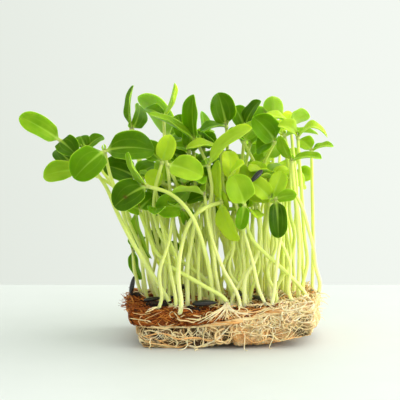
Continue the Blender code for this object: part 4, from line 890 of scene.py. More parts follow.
def strand_finish():
    """A single root: orange-tan to cream and white by its tone, stained along its length, satin and moist."""
    made, tree = new_finish("root_strand")
    tone = add(tree, "ShaderNodeAttribute", attribute_name="tone").outputs["Fac"]
    place = add(tree, "ShaderNodeTexCoord").outputs["Object"]
    mottle = add(tree, "ShaderNodeTexNoise", {"Vector": place, "Scale": 450.0, "Detail": 3.0}).outputs[0]
    low = add(tree, "ShaderNodeMapRange", {0: tone, 1: 0.0, 2: 0.45}).outputs[0]
    high = add(tree, "ShaderNodeMapRange", {0: tone, 1: 0.55, 2: 1.0}).outputs[0]
    colour = add(tree, "ShaderNodeMix", {0: low, 6: ROOT_TAN, 7: ROOT_CREAM}, data_type="RGBA").outputs[2]
    colour = add(tree, "ShaderNodeMix", {0: high, 6: colour, 7: ROOT_WHITE}, data_type="RGBA").outputs[2]
    stain = add(tree, "ShaderNodeMapRange", {0: mottle, 1: 0.5, 2: 0.75, 3: 0.0, 4: 0.5}).outputs[0]
    colour = add(tree, "ShaderNodeMix", {0: stain, 6: colour, 7: linear("C98A45")}, data_type="RGBA").outputs[2]
    bump = add(tree, "ShaderNodeBump", {"Strength": 0.4, "Distance": 0.0002, "Height": mottle}).outputs[0]
    shader = add(tree, "ShaderNodeBsdfPrincipled", {
        "Base Color": colour, "Roughness": 0.45, "Specular IOR Level": 0.3, "Normal": bump, "Subsurface Weight": 0.35,
        "Subsurface Radius": (1.0, 0.8, 0.5), "Subsurface Scale": 0.0004})
    add(tree, "ShaderNodeOutputMaterial", {"Surface": shader.outputs[0]})
    return made


FELT_FINISH, STRAND_FINISH = felt_finish(), strand_finish()

# %% The felt body
ROOT_FINE_CUTS = (118, 78, 17)
BULGE, BULGE_SCALE = 2.6, 0.11   # height of the bulges, and their scale for about 9 mm across
WIND, WIND_SCALE = 2.5, 0.22     # how far the ridges wander
FELT_RIDGE, FELT_SCALE = 0.9, 0.36
RIDGE_TOP = 0.8                  # how high a ridge reaches before it counts as standing out
FLAT_UNDER = 1.2                 # below this height the underside stays flat
PIT_SCALE, PIT_FROM = 0.23, 0.10  # hollows that the strands bridge: their scale, and where a hollow begins
PIT_LEFT, PIT_RIGHT = 14.0, 5.0   # how steep they are at the left end and on the right
PIT_X = (-16.0, 4.0)
CRUMB_COARSE, CRUMB_FINE = (0.8, 0.42), (0.5, 1.1)  # height and scale of the coir's crumbs


def felt_relief(place):
    """How far the felt stands out here, in millimetres: bulges, with winding ridges on them."""
    if place.z < FLAT_UNDER:
        return 0.0
    wound = place + WIND * noise.noise_vector(place * WIND_SCALE)
    ridge = 1 - abs(2 * noise.noise(wound * FELT_SCALE))
    return BULGE * noise.noise(place * BULGE_SCALE) + FELT_RIDGE * (ridge - RIDGE_TOP)


def pitted_relief(place):
    """The same with the hollows, which are deepest at the left end."""
    if place.z < FLAT_UNDER:
        return 0.0
    steep = mix(PIT_LEFT, PIT_RIGHT, smooth_step(*PIT_X, place.x))
    return felt_relief(place) - steep * max(0.0, noise.noise(place * PIT_SCALE) - PIT_FROM)


def coir_relief(place):
    return sum(height * noise.noise(place * scale) for height, scale in (CRUMB_COARSE, CRUMB_FINE))


def fine_slab(name, slab, cuts, relief, finish, node):
    """A cube cut fine, bent to the block's form and pushed out or in by a relief, as a piece for a node."""
    bm = bmesh.new()
    bmesh.ops.create_cube(bm, size=2)
    for axis, count in enumerate(cuts):
        edges = [e for e in bm.edges if abs(e.verts[1].co[axis] - e.verts[0].co[axis]) > 1]
        bmesh.ops.subdivide_edges(bm, edges=edges, cuts=count, use_grid_fill=True)
    for vert in bm.verts:
        vert.co = Vector(slab_point(slab, *vert.co))
    if bm.calc_volume(signed=True) < 0:
        bmesh.ops.reverse_faces(bm, faces=bm.faces[:])
    bm.normal_update()
    heights = [relief(vert.co) for vert in bm.verts]
    moved = [vert.co + vert.normal * height for vert, height in zip(bm.verts, heights)]
    for vert, place in zip(bm.verts, moved):
        vert.co = Vector((place.x, place.y, max(place.z, 0.0))) * MM
    mesh = bpy.data.meshes.new(name)
    bm.to_mesh(mesh)
    bm.free()
    mesh.attributes.new("relief", "FLOAT", "POINT").data.foreach_set("value", heights)
    mesh.materials.append(finish)
    mesh.shade_smooth()
    place_piece(name, mesh, node)
    print(name, "faces", len(mesh.polygons), "relief", round(min(heights), 2), "to", round(max(heights), 2), "mm")


fine_slab("root_felt", ROOT_SLAB, ROOT_FINE_CUTS, pitted_relief, FELT_FINISH, "root_mat")

# %% Strands that wind over the sides
STRAND_SEED = 11
SIDE_STRANDS = 620
STRAND_SHARES = ((-6.0, 0.17), (22.0, 0.30), (60.0, 0.85))  # on the front, up to which x what share of them is kept
DEGREES_A_MM = 1.25              # bearing that a strand passes in one millimetre
HALF_LAYER = 7.0                 # about half the height of the mat's side
WANDER_STEP = 1.6
WANDER_EDGE = 0.95               # a strand turns back this close to the side's edges
STRAND_CLEAR = 0.15              # least height over the table
LONG_ROOT = tube_template(6, 26)


def arc(share, power=1.0):
    """Nothing at both ends of a path and 1 in its middle."""
    return max(0.0, math.sin(math.pi * share)) ** power


def over(slab, relief, bearing, w, out):
    """A point over a slab's side, at a distance from its relief."""
    base = side_point(slab, bearing, w, 0.0)
    return np.array(side_point(slab, bearing, w, out + relief(base)))


def wander(rng, slab, relief, bearing, w, length, curl, out):
    """A root's path over a slab's side: it winds as it goes, and both its ends are sunk in."""
    points = []
    heading = rng.choice((0.0, math.pi)) + rng.gauss(0, 0.5)
    bend = rng.gauss(0, curl)
    steps = max(6, round(length / WANDER_STEP))
    for step in range(steps + 1):
        depth = mix(-0.9, out, arc(step / steps, 0.4))
        points.append(over(slab, relief, math.radians(bearing), w, depth))
        bend = 0.7 * bend + rng.gauss(0, curl)
        heading += bend
        bearing += math.cos(heading) * length / steps * DEGREES_A_MM
        w += math.sin(heading) * length / steps / HALF_LAYER
        if abs(w) > WANDER_EDGE:
            heading, bend = -heading, -bend
            w = math.copysign(WANDER_EDGE, w)
    return points


def strand_stamp(piece, points, radius, tip, tone, template=None, finish=0):
    """Stamps a root along its points, tapered to its tip and never under the table."""
    template = template or ROOTLET
    path = smooth_path(points, int(template.ring.max()) + 1)
    radii = np.linspace(radius, tip, len(path))
    path[:, 2] = np.maximum(path[:, 2], radii + STRAND_CLEAR)
    piece.stamp(template, tube_places(template, path, radii), finish, tone=tone)


rng = random.Random(STRAND_SEED)
strands = Piece("tone")
for _ in range(SIDE_STRANDS):
    bearing = rng.uniform(0, 360)
    radius = rng.choice((0.13, 0.17, 0.22, 0.28, 0.36, 0.52))
    points = wander(rng, ROOT_SLAB, felt_relief, bearing, rng.uniform(-0.95, 0.95), rng.uniform(9, 38),
                    rng.choice((0.1, 0.2, 0.32)), rng.uniform(0.05, 0.7) + radius * 0.4)
    x, y = points[0][:2]
    kept = next(share for until, share in STRAND_SHARES if x < until) if y < 0 else 0.8
    if rng.random() < kept:
        strand_stamp(strands, points, radius, radius * 0.5, rng.triangular(0.0, 1.0, 0.35), LONG_ROOT)
strands.done("side_roots", [STRAND_FINISH])
print("side strands", SIDE_STRANDS)

# %% [markdown]
# Where roots meet air they curl. The upper right of the front is full of such coils, with brown hollows between
# them. A band of thicker roots lies along the mat's upper edge, twisted like a rope, and climbs with it to the
# right. Whitish roots loop out of the lower left, and some tips reach down to the table.

# %% Coils
FRONT_COILS, BIG_COILS, OTHER_COILS = 30, 46, 50
COIL_X, COIL_W = (13, 41), (-0.3, 1.1)
BIG_COIL_X, BIG_COIL_W = (9, 42), (0.2, 1.15)


def bearing_at(x):
    """The bearing in degrees at which a point of the mat's front face has this x."""
    return math.degrees(math.atan2(-1.0, (x - ROOT_CENTRE[0]) / ROOT_HALF[0] / math.sqrt(1 - CORNER))) % 360


def coil(rng, bearing, w, size):
    """A root that curls round about once over the felt, and drifts as it does."""
    radius, turns = size * rng.uniform(1.2, 3.0), rng.uniform(0.4, 1.1)
    phase, drift = rng.uniform(0, math.tau), rng.uniform(-6, 6)
    lift, squash = size * rng.uniform(0.3, 1.8), rng.uniform(0.55, 1.2)
    wave, swing = rng.uniform(0, math.tau), rng.uniform(0.1, 0.35)
    points = []
    for step in range(13):
        share = step / 12
        angle = phase + math.tau * turns * share
        reach = radius * (1 + swing * math.sin(2.3 * angle + wave))
        at = bearing + (reach * math.cos(angle) + drift * share + rng.uniform(-0.3, 0.3)) * DEGREES_A_MM
        height = w + squash * reach * math.sin(angle) / HALF_LAYER + rng.uniform(-0.04, 0.04)
        points.append(over(ROOT_SLAB, felt_relief, math.radians(at), min(max(height, -0.9), 1.35),
                           mix(-0.8, lift, arc(share, 0.6))))
    return points


coils = Piece("tone")
for number in range(FRONT_COILS + BIG_COILS + OTHER_COILS):
    big = number < BIG_COILS
    front = number < BIG_COILS + FRONT_COILS
    bearing = bearing_at(rng.uniform(*(BIG_COIL_X if big else COIL_X))) if front else rng.uniform(0, 360)
    size, radius = (1.25, rng.choice((0.22, 0.3, 0.38, 0.52))) if big else (1.0, rng.uniform(0.14, 0.34))
    w = rng.uniform(*(BIG_COIL_W if big else COIL_W))
    strand_stamp(coils, coil(rng, bearing, w, size), radius, radius * 0.5, rng.uniform(0.35, 1.0), LONG_ROOT)

# %% The rope, the loops and the tips
ROPE_STRANDS = 12
ROPE_SPAN = (208, 352)           # bearings between which it runs along the front
ROPE_HEIGHT, ROPE_SPREAD = 0.86, 0.13
ROPE_TURNS = 2.6
ROPE_POINTS = 16


def rope_points(index, rng):
    start, stop = ROPE_SPAN[0] + rng.uniform(-4, 45), ROPE_SPAN[1] - rng.uniform(-4, 60)
    phase = math.tau * index / ROPE_STRANDS
    points = []
    for step in range(ROPE_POINTS):
        share = step / (ROPE_POINTS - 1)
        turn = phase + math.tau * ROPE_TURNS * share
        w = ROPE_HEIGHT + ROPE_SPREAD * math.cos(turn) * rng.uniform(0.5, 1.2)
        out = 0.5 + 0.6 * math.sin(turn) + rng.uniform(-0.2, 0.2)
        points.append(over(ROOT_SLAB, felt_relief, math.radians(mix(start, stop, share)), min(w, 1.0), out))
    return points


ROPE_TUBE = tube_template(7, 44)
for index in range(ROPE_STRANDS):
    radius = rng.uniform(0.32, 0.62)
    strand_stamp(coils, rope_points(index, rng), radius, radius * 0.6, rng.uniform(0.0, 0.5), ROPE_TUBE)

LOOPS = 26
LOOP_X = (-39, -4)
for _ in range(LOOPS):
    bearing = bearing_at(rng.uniform(*LOOP_X))
    low, rise = rng.uniform(-0.7, 0.1), rng.uniform(0.3, 1.1)
    wide, lift = rng.uniform(2, 9) * rng.choice((-1, 1)), rng.uniform(0.5, 2.2)
    points = []
    for step in range(9):
        share = step / 8
        hump = arc(share)
        at = math.radians(bearing + wide * DEGREES_A_MM * (share + 0.25 * math.sin(math.tau * share)))
        points.append(over(ROOT_SLAB, felt_relief, at, min(low + rise * hump, 0.9), -0.6 + lift * hump))
    radius = rng.uniform(0.14, 0.34)
    strand_stamp(coils, points, radius, radius * 0.6, rng.uniform(0.5, 1.0), LONG_ROOT)

TIPS = [(-17, 4), (-14, 5.5), (-10, 2.5), (8, 3), (21, 1), (-32, 1.5)]
for x, reach in TIPS:
    bearing = math.radians(bearing_at(x))
    points = [over(ROOT_SLAB, felt_relief, bearing, w, out) for w, out in ((0.0, -0.4), (-0.35, 0.9), (-0.7, 1.4))]
    last = points[-1]
    points.append(np.array((last[0] + rng.uniform(-4, 2), last[1] - reach * 0.6, 0.6)))
    points.append(np.array((last[0] + rng.uniform(-6, 2), last[1] - reach, 0.3)))
    strand_stamp(coils, points, rng.uniform(0.28, 0.42), 0.12, rng.uniform(0.6, 1.0))
coils.done("curled_roots", [STRAND_FINISH])
print("coils", FRONT_COILS + BIG_COILS + OTHER_COILS, "rope", ROPE_STRANDS, "loops", LOOPS, "tips", len(TIPS))

# %% Strands over the top, where the roots have grown through the coir on the right
TOP_STRANDS = 210
TOP_X = (-12, 41)
TOP_STEP = 1.5


def top_at(x, y):
    """The height of the block's top with its relief, or nothing past its edge."""
    if abs(x - COIR_CENTRE[0]) < COIR_HALF[0] - 2 and abs(y) < COIR_HALF[1] - 1.5:
        return coir_top(x, y) + coir_relief(Vector((x, y, coir_top(x, y))))
    if abs(x - ROOT_CENTRE[0]) < ROOT_HALF[0] - 2 and abs(y) < ROOT_HALF[1] - 1.5:
        return root_top(x, y) + felt_relief(Vector((x, y, root_top(x, y))))
    return None


top_roots = Piece("tone")
made = 0
while made < TOP_STRANDS:
    x = mix(*TOP_X, rng.random() ** 0.6)
    y = rng.uniform(-27, 27)
    heading, bend = rng.uniform(0, math.tau), rng.gauss(0, 0.3)
    steps = rng.randint(4, 11)
    lift = rng.choice((0.5, 0.8, 1.4, 2.8))
    points = []
    for step in range(steps + 1):
        z = top_at(x, y)
        if z is None:
            break
        points.append(np.array((x, y, z - 0.5 + lift * math.sin(math.pi * step / steps))))
        bend = 0.8 * bend + rng.gauss(0, 0.28)
        heading += bend
        x += math.cos(heading) * TOP_STEP
        y += math.sin(heading) * TOP_STEP
    if len(points) < 4:
        continue
    radius = rng.choice((0.16, 0.22, 0.3, 0.4))
    strand_stamp(top_roots, points, radius, radius * 0.5, rng.uniform(0.0, 0.85))
    made += 1

EDGE_STRANDS = 84
for _ in range(EDGE_STRANDS):
    bearing = rng.choice((rng.uniform(225, 350), rng.uniform(270, 350), rng.uniform(0, 360)))
    points = wander(rng, COIR_SLAB, coir_relief, bearing, rng.uniform(-0.7, 0.9), rng.uniform(5, 18), 0.3,
                    rng.uniform(0.3, 1.3))
    radius = rng.choice((0.14, 0.2, 0.28, 0.4))
    strand_stamp(top_roots, points, radius, radius * 0.6, rng.uniform(0.0, 0.6))

FRAYED = 48
for _ in range(FRAYED):
    bearing = math.radians(rng.uniform(-36, 36))
    start = over(ROOT_SLAB, felt_relief, bearing, rng.uniform(-0.1, 0.98), -0.6)
    away = np.array((math.cos(bearing), math.sin(bearing) * 0.7, rng.uniform(-0.25, 0.5)))
    reach = rng.uniform(1.5, 5.5)
    droop = np.array((rng.uniform(-1.5, 1), rng.uniform(-2, 2), rng.uniform(-2.5, 1.5)))
    points = [start, start + away * reach * 0.5 + droop * 0.1, start + away * reach * 0.9 + droop * 0.5,
              start + away * reach + droop]
    strand_stamp(top_roots, points, rng.uniform(0.1, 0.2), 0.05, rng.uniform(0.4, 1.0))
top_roots.done("top_roots", [STRAND_FINISH])
print("top strands", TOP_STRANDS, "edge strands", EDGE_STRANDS, "frayed", FRAYED)

# %% [markdown]
# ## The coir
# Coir is short stiff fibre from coconut husk, reddish-brown, loosely packed, with dark soil and bits of pith. The
# body under it is rough and dark, so that the gaps between the fibres look deep. The fibres are real, but drawn at
# 0.3 to 0.5 mm, about twice their true thickness, because thinner ones would vanish in the picture.

# %% Finish of the coir and the soil
COIR_RED, COIR_DARK, COIR_LIGHT, SOIL = linear("B0581E"), linear("401E0B"), linear("E4953E"), linear("17100C")


def coir_bed_finish():
    """Packed pith: dark red-brown crumbs at about 1 mm, lost under roots to the right, where it turns tan."""
    made, tree = new_finish("packed_coir")
    place = add(tree, "ShaderNodeTexCoord").outputs["Object"]
    crumbs = add(tree, "ShaderNodeTexVoronoi", {"Vector": place, "Scale": 850.0}).outputs["Distance"]
    mottle = add(tree, "ShaderNodeTexNoise", {"Vector": place, "Scale": 420.0, "Detail": 5.0}).outputs[0]
    share = add(tree, "ShaderNodeMapRange", {0: mottle, 1: 0.36, 2: 0.66}).outputs[0]
    colour = add(tree, "ShaderNodeMix", {0: share, 6: COIR_DARK, 7: COIR_RED}, data_type="RGBA").outputs[2]
    x = add(tree, "ShaderNodeSeparateXYZ", {0: place}).outputs[0]
    right = add(tree, "ShaderNodeMapRange", {0: x, 1: 0.018, 2: 0.036, 3: 0.0, 4: 0.5}).outputs[0]
    colour = add(tree, "ShaderNodeMix", {0: right, 6: colour, 7: linear("A06A34")}, data_type="RGBA").outputs[2]
    height = add(tree, "ShaderNodeMath", {0: mottle, 1: crumbs}, operation="SUBTRACT").outputs[0]
    bump = add(tree, "ShaderNodeBump", {"Strength": 1.0, "Distance": 0.0007, "Height": height}).outputs[0]
    shader = add(tree, "ShaderNodeBsdfPrincipled", {"Base Color": colour, "Roughness": 0.92, "Specular IOR Level": 0.15, "Normal": bump})
    add(tree, "ShaderNodeOutputMaterial", {"Surface": shader.outputs[0]})
    return made


def coir_fibre_finish():
    """One coconut fibre: tone runs from dark through red-brown to a light orange."""
    made, tree = new_finish("coir_fibre")
    tone = add(tree, "ShaderNodeAttribute", attribute_name="tone").outputs["Fac"]
    place = add(tree, "ShaderNodeTexCoord").outputs["Object"]
    mottle = add(tree, "ShaderNodeTexNoise", {"Vector": place, "Scale": 900.0, "Detail": 2.0}).outputs[0]
    low = add(tree, "ShaderNodeMapRange", {0: tone, 1: 0.0, 2: 0.5}).outputs[0]
    high = add(tree, "ShaderNodeMapRange", {0: tone, 1: 0.5, 2: 1.0}).outputs[0]
    colour = add(tree, "ShaderNodeMix", {0: low, 6: COIR_DARK, 7: COIR_RED}, data_type="RGBA").outputs[2]
    colour = add(tree, "ShaderNodeMix", {0: high, 6: colour, 7: COIR_LIGHT}, data_type="RGBA").outputs[2]
    rough = add(tree, "ShaderNodeMapRange", {0: mottle, 3: 0.5, 4: 0.8}).outputs[0]
    shader = add(tree, "ShaderNodeBsdfPrincipled", {"Base Color": colour, "Roughness": rough, "Specular IOR Level": 0.25})
    add(tree, "ShaderNodeOutputMaterial", {"Surface": shader.outputs[0]})
    return made


def soil_finish():
    """Moist soil: nearly black, rough, with a little red-brown pith."""
    made, tree = new_finish("moist_soil")
    place = add(tree, "ShaderNodeTexCoord").outputs["Object"]
    mottle = add(tree, "ShaderNodeTexNoise", {"Vector": place, "Scale": 700.0, "Detail": 4.0}).outputs[0]
    share = add(tree, "ShaderNodeMapRange", {0: mottle, 1: 0.5, 2: 0.7}).outputs[0]
    colour = add(tree, "ShaderNodeMix", {0: share, 6: SOIL, 7: linear("4A2A18")}, data_type="RGBA").outputs[2]
    bump = add(tree, "ShaderNodeBump", {"Strength": 0.8, "Distance": 0.0004, "Height": mottle}).outputs[0]
    shader = add(tree, "ShaderNodeBsdfPrincipled", {"Base Color": colour, "Roughness": 0.75, "Specular IOR Level": 0.3, "Normal": bump})
    add(tree, "ShaderNodeOutputMaterial", {"Surface": shader.outputs[0]})
    return made


# %% The bed
COIR_FINE_CUTS = (90, 66, 7)
fine_slab("coir_bed", COIR_SLAB, COIR_FINE_CUTS, coir_relief, coir_bed_finish(), "coir_layer")

# %% The fibres
FIBRE_SEED = 23
FIBRES = 3000
SIDE_SHARE = 0.45                # how many lie on the sides
LEFT_REACH = 16.0                # on top they thin out right of this x


def fibre_on_top(rng):
    x = rng.uniform(COIR_CENTRE[0] - COIR_HALF[0] + 1.5, COIR_CENTRE[0] + COIR_HALF[0] - 2)
    y = rng.uniform(-COIR_HALF[1] + 1.5, COIR_HALF[1] - 1.5)
    turn, half = rng.uniform(0, math.tau), rng.uniform(1.5, 5.5)
    ends = []
    for side in (-1, 1):
        ex, ey = x + side * half * math.cos(turn), y + side * half * math.sin(turn)
        ends.append((ex, ey, (top_at(ex, ey) or coir_top(ex, ey)) + rng.uniform(-0.5, 0.7)))
    middle = (x + rng.uniform(-1.5, 1.5), y + rng.uniform(-1.5, 1.5), coir_top(x, y) + rng.uniform(0.2, 1.7))
    return [ends[0], middle, ends[1]]


def fibre_on_side(rng):
    bearing, w = rng.uniform(0, 360), rng.uniform(-0.95, 1.0)
    turn, half = rng.uniform(-0.9, 0.9), rng.uniform(1.5, 5.0)
    points = []
    for side in (-1, 0, 1):
        at = math.radians(bearing + side * half * math.cos(turn) * DEGREES_A_MM)
        up = w + side * half * math.sin(turn) / 4
        out = rng.uniform(0.5, 1.5) if side == 0 else rng.uniform(-0.5, 0.5)
        points.append(np.array(side_point(COIR_SLAB, at, min(max(up, -1.0), 1.0), out)))
    return points


rng = random.Random(FIBRE_SEED)
fibres = Piece("tone")
made = 0
while made < FIBRES:
    points = fibre_on_side(rng) if rng.random() < SIDE_SHARE else fibre_on_top(rng)
    if rng.random() < 0.85 * smooth_step(0, LEFT_REACH, points[1][0]):
        continue
    inside = all(abs(p[0] - COIR_CENTRE[0]) < COIR_HALF[0] + 2 and abs(p[1]) < COIR_HALF[1] + 2 for p in points)
    if not inside:
        continue
    radius = rng.uniform(0.13, 0.24)
    path = bent_path(points, int(FIBRE.ring.max()) + 1)
    fibres.stamp(FIBRE, tube_places(FIBRE, path, np.full(len(path), radius)), 0, tone=rng.random())
    made += 1

HAIRS = 26
for _ in range(HAIRS):
    bearing = math.radians(rng.uniform(158, 202))
    start = np.array(side_point(COIR_SLAB, bearing, rng.uniform(-0.2, 1.0), -0.4))
    reach = rng.uniform(2.0, 5.5)
    end = start + np.array((-reach, rng.uniform(-2, 2), rng.uniform(-1.0, 4.0)))
    middle = (start + end) / 2 + np.array((-0.6, 0, rng.uniform(-1.0, 1.2)))
    path = bent_path([start, middle, end], int(FIBRE.ring.max()) + 1)
    fibres.stamp(FIBRE, tube_places(FIBRE, path, np.linspace(0.13, 0.06, len(path))), 0, tone=rng.uniform(0.2, 1))
fibres.done("coir_fibres", [coir_fibre_finish()])
print("fibres", FIBRES, "hairs", HAIRS)

# %% Soil crumbs
CRUMB_SEED = 31
LOOSE_CRUMBS = 300
# Heaps: x, y, spread, how many, and the largest radius
HEAPS = [(-31.0, -19.0, 3.6, 64, 2.0), (-14.0, -24.5, 3.0, 26, 1.1), (-40.0, -10.0, 2.6, 20, 1.1), (5.0, -23.5, 2.2, 12, 0.9),
         (-25.0, 6.0, 5.0, 24, 1.3), (-8.0, 18.0, 5.0, 20, 1.2), (12.0, -6.0, 3.5, 12, 1.0)]

bm = bmesh.new()
bmesh.ops.create_icosphere(bm, subdivisions=2, radius=1)
CRUMB = as_template(bm)


def crumb_stamp(piece, x, y, radius, rng, pile=0.0):
    """Stamps a lump: a ball dented by noise, flattened and half sunk in the coir."""
    z = top_at(x, y)
    if z is None:
        return
    offset = Vector((rng.uniform(0, 50), rng.uniform(0, 50), 0))
    unit = np.stack([CRUMB.x, CRUMB.y, CRUMB.z], axis=1)
    dents = np.array([1 + 0.45 * noise.noise(Vector(p) * 1.6 + offset) for p in unit])
    squash = np.array((rng.uniform(0.8, 1.25), rng.uniform(0.8, 1.25), rng.uniform(0.55, 0.9)))
    piece.stamp(CRUMB, unit * dents[:, None] * squash * radius + np.array((x, y, z + radius * 0.15 + rng.uniform(0, pile))), 0)


rng = random.Random(CRUMB_SEED)
crumbs = Piece()
for _ in range(LOOSE_CRUMBS):
    crumb_stamp(crumbs, rng.uniform(-43, 30), rng.uniform(-26, 26), rng.uniform(0.3, 0.9), rng)
for x, y, spread, count, largest in HEAPS:
    for _ in range(count):
        crumb_stamp(crumbs, rng.gauss(x, spread / 2), rng.gauss(y, spread / 3), rng.uniform(0.4, 1.0) * largest, rng,
                    largest)
crumbs.done("soil_crumbs", [soil_finish()])

# %% [markdown]
# ## Stems and seed leaves
# A sunflower sprout's stem is a juicy, hairless tube, nearly white at the foot and pale green above, which lets light
# through. Its two seed leaves are thick and smooth, with a groove along the midrib and two side veins that start at
# the same place. A leaf could be a flat card with a picture, but its thickness gives the bright rims against the
# light, so each one is a closed blade with a real edge, whose thickness falls off towards the rim. A pale rim is
# also painted along the margin, partly the leaf's own paler edge and partly painted backlight.

# %% Finish of the seed leaves
# the dark and the bright green are partly the leaf's own colour and partly painted shade and painted backlight
LEAF_DARK_AND_SHADED, LEAF_MID, LEAF_BRIGHT_AND_BACKLIT = linear("305600"), linear("6E9F08"), linear("CCE43E")
LEAF_UNDER, LEAF_VEIN, LEAF_STALK = linear("A2C654"), linear("BCDC50"), linear("D6E67E")
LEAF_SPECK = linear("6B4A20")


def leaf_finish():
    """Waxy cuticle over green tissue: satin, mottled at about 2 mm, with pale veins, and light comes through it. Its
    tone from dark to bright green is partly its own colour and partly painted shade and painted backlight.
    """
    made, tree = new_finish("waxy_seed_leaf")
    value = {name: add(tree, "ShaderNodeAttribute", attribute_name=name).outputs["Fac"]
             for name in ("tone", "upper", "rib", "vein", "fan", "along", "edge", "speck")}
    place = add(tree, "ShaderNodeTexCoord").outputs["Object"]
    mottle = add(tree, "ShaderNodeTexNoise", {"Vector": place, "Scale": 170.0, "Detail": 2.0}).outputs[0]
    grain = add(tree, "ShaderNodeTexNoise", {"Vector": place, "Scale": 2600.0, "Detail": 2.0}).outputs[0]
    shift = add(tree, "ShaderNodeMapRange", {0: mottle, 1: 0.25, 2: 0.75, 3: -0.07, 4: 0.07}).outputs[0]
    tone = add(tree, "ShaderNodeMath", {0: value["tone"], 1: shift}, operation="ADD").outputs[0]
    # the tone's dark and bright ends are partly the leaf's own colour and partly painted shade and painted backlight
    low = add(tree, "ShaderNodeMapRange", {0: tone, 1: 0.0, 2: 0.5}).outputs[0]
    high = add(tree, "ShaderNodeMapRange", {0: tone, 1: 0.5, 2: 1.0}).outputs[0]
    green = add(tree, "ShaderNodeMix", {0: low, 6: LEAF_DARK_AND_SHADED, 7: LEAF_MID}, data_type="RGBA").outputs[2]
    green = add(tree, "ShaderNodeMix", {0: high, 6: green, 7: LEAF_BRIGHT_AND_BACKLIT}, data_type="RGBA").outputs[2]
    # the veins: the midrib, the two side veins and the faint net that leaves the midrib at a slant, 1.9 mm apart
    midrib = add(tree, "ShaderNodeMapRange", {0: value["rib"], 1: 0.12, 2: 0.6, 3: 0.85, 4: 0.0}).outputs[0]
    beside = add(tree, "ShaderNodeMath", {0: value["vein"]}, operation="ABSOLUTE").outputs[0]
    lateral = add(tree, "ShaderNodeMapRange", {0: beside, 1: 0.05, 2: 0.4, 3: 0.16, 4: 0.0}).outputs[0]
    turn = add(tree, "ShaderNodeMath", {0: value["fan"], 1: math.pi / 1.9}, operation="MULTIPLY").outputs[0]
    wave = add(tree, "ShaderNodeMath", {0: turn}, operation="SINE").outputs[0]
    wave = add(tree, "ShaderNodeMath", {0: wave}, operation="ABSOLUTE").outputs[0]
    net = add(tree, "ShaderNodeMapRange", {0: wave, 1: 0.04, 2: 0.26, 3: 0.05, 4: 0.0}).outputs[0]
    veins = add(tree, "ShaderNodeMath", {0: midrib, 1: lateral}, operation="MAXIMUM").outputs[0]
    veins = add(tree, "ShaderNodeMath", {0: veins, 1: net}, operation="MAXIMUM").outputs[0]
    fade = add(tree, "ShaderNodeMapRange", {0: value["along"], 1: 0.1, 2: 0.9, 3: 0.8, 4: 0.15}).outputs[0]
    faint = add(tree, "ShaderNodeMath", {0: veins, 1: fade}, operation="MULTIPLY").outputs[0]
    green = add(tree, "ShaderNodeMix", {0: faint, 6: green, 7: LEAF_VEIN}, data_type="RGBA").outputs[2]
    paler = add(tree, "ShaderNodeMapRange", {0: value["upper"], 3: 0.55, 4: 0.0}).outputs[0]
    green = add(tree, "ShaderNodeMix", {0: paler, 6: green, 7: LEAF_UNDER}, data_type="RGBA").outputs[2]
    # a pale rim at the margin: partly the leaf's own paler edge and partly a painted backlit rim
    rim = add(tree, "ShaderNodeMapRange", {0: value["edge"], 1: 0.94, 2: 1.0, 3: 0.0, 4: 0.5}).outputs[0]
    green = add(tree, "ShaderNodeMix", {0: rim, 6: green, 7: LEAF_VEIN}, data_type="RGBA").outputs[2]
    stalk = add(tree, "ShaderNodeMapRange", {0: value["along"], 1: 0.02, 2: 0.15, 3: 0.9, 4: 0.0}).outputs[0]
    green = add(tree, "ShaderNodeMix", {0: stalk, 6: green, 7: LEAF_STALK}, data_type="RGBA").outputs[2]
    green = add(tree, "ShaderNodeMix", {0: value["speck"], 6: green, 7: LEAF_SPECK}, data_type="RGBA").outputs[2]
    rough = add(tree, "ShaderNodeMapRange", {0: mottle, 1: 0.3, 2: 0.7, 3: 0.28, 4: 0.40}).outputs[0]
    sunk = add(tree, "ShaderNodeMath", {0: grain, 1: veins}, operation="SUBTRACT").outputs[0]
    bump = add(tree, "ShaderNodeBump", {"Strength": 0.3, "Distance": 0.00012, "Height": sunk}).outputs[0]
    shader = add(tree, "ShaderNodeBsdfPrincipled", {
        "Base Color": green, "Roughness": rough, "IOR": 1.42, "Specular IOR Level": 0.08, "Normal": bump,
        "Subsurface Weight": 1.0, "Subsurface Radius": (0.8, 1.0, 0.15), "Subsurface Scale": 0.0013})
    add(tree, "ShaderNodeOutputMaterial", {"Surface": shader.outputs[0]})
    return made


LEAF_FINISH = leaf_finish()

# %% Finish of the stems
STEM_FOOT, STEM_MIDDLE, STEM_TOP, STEM_GREEN = linear("F9F9C8"), linear("F4F8AE"), linear("E2EE84"), linear("CCE068")


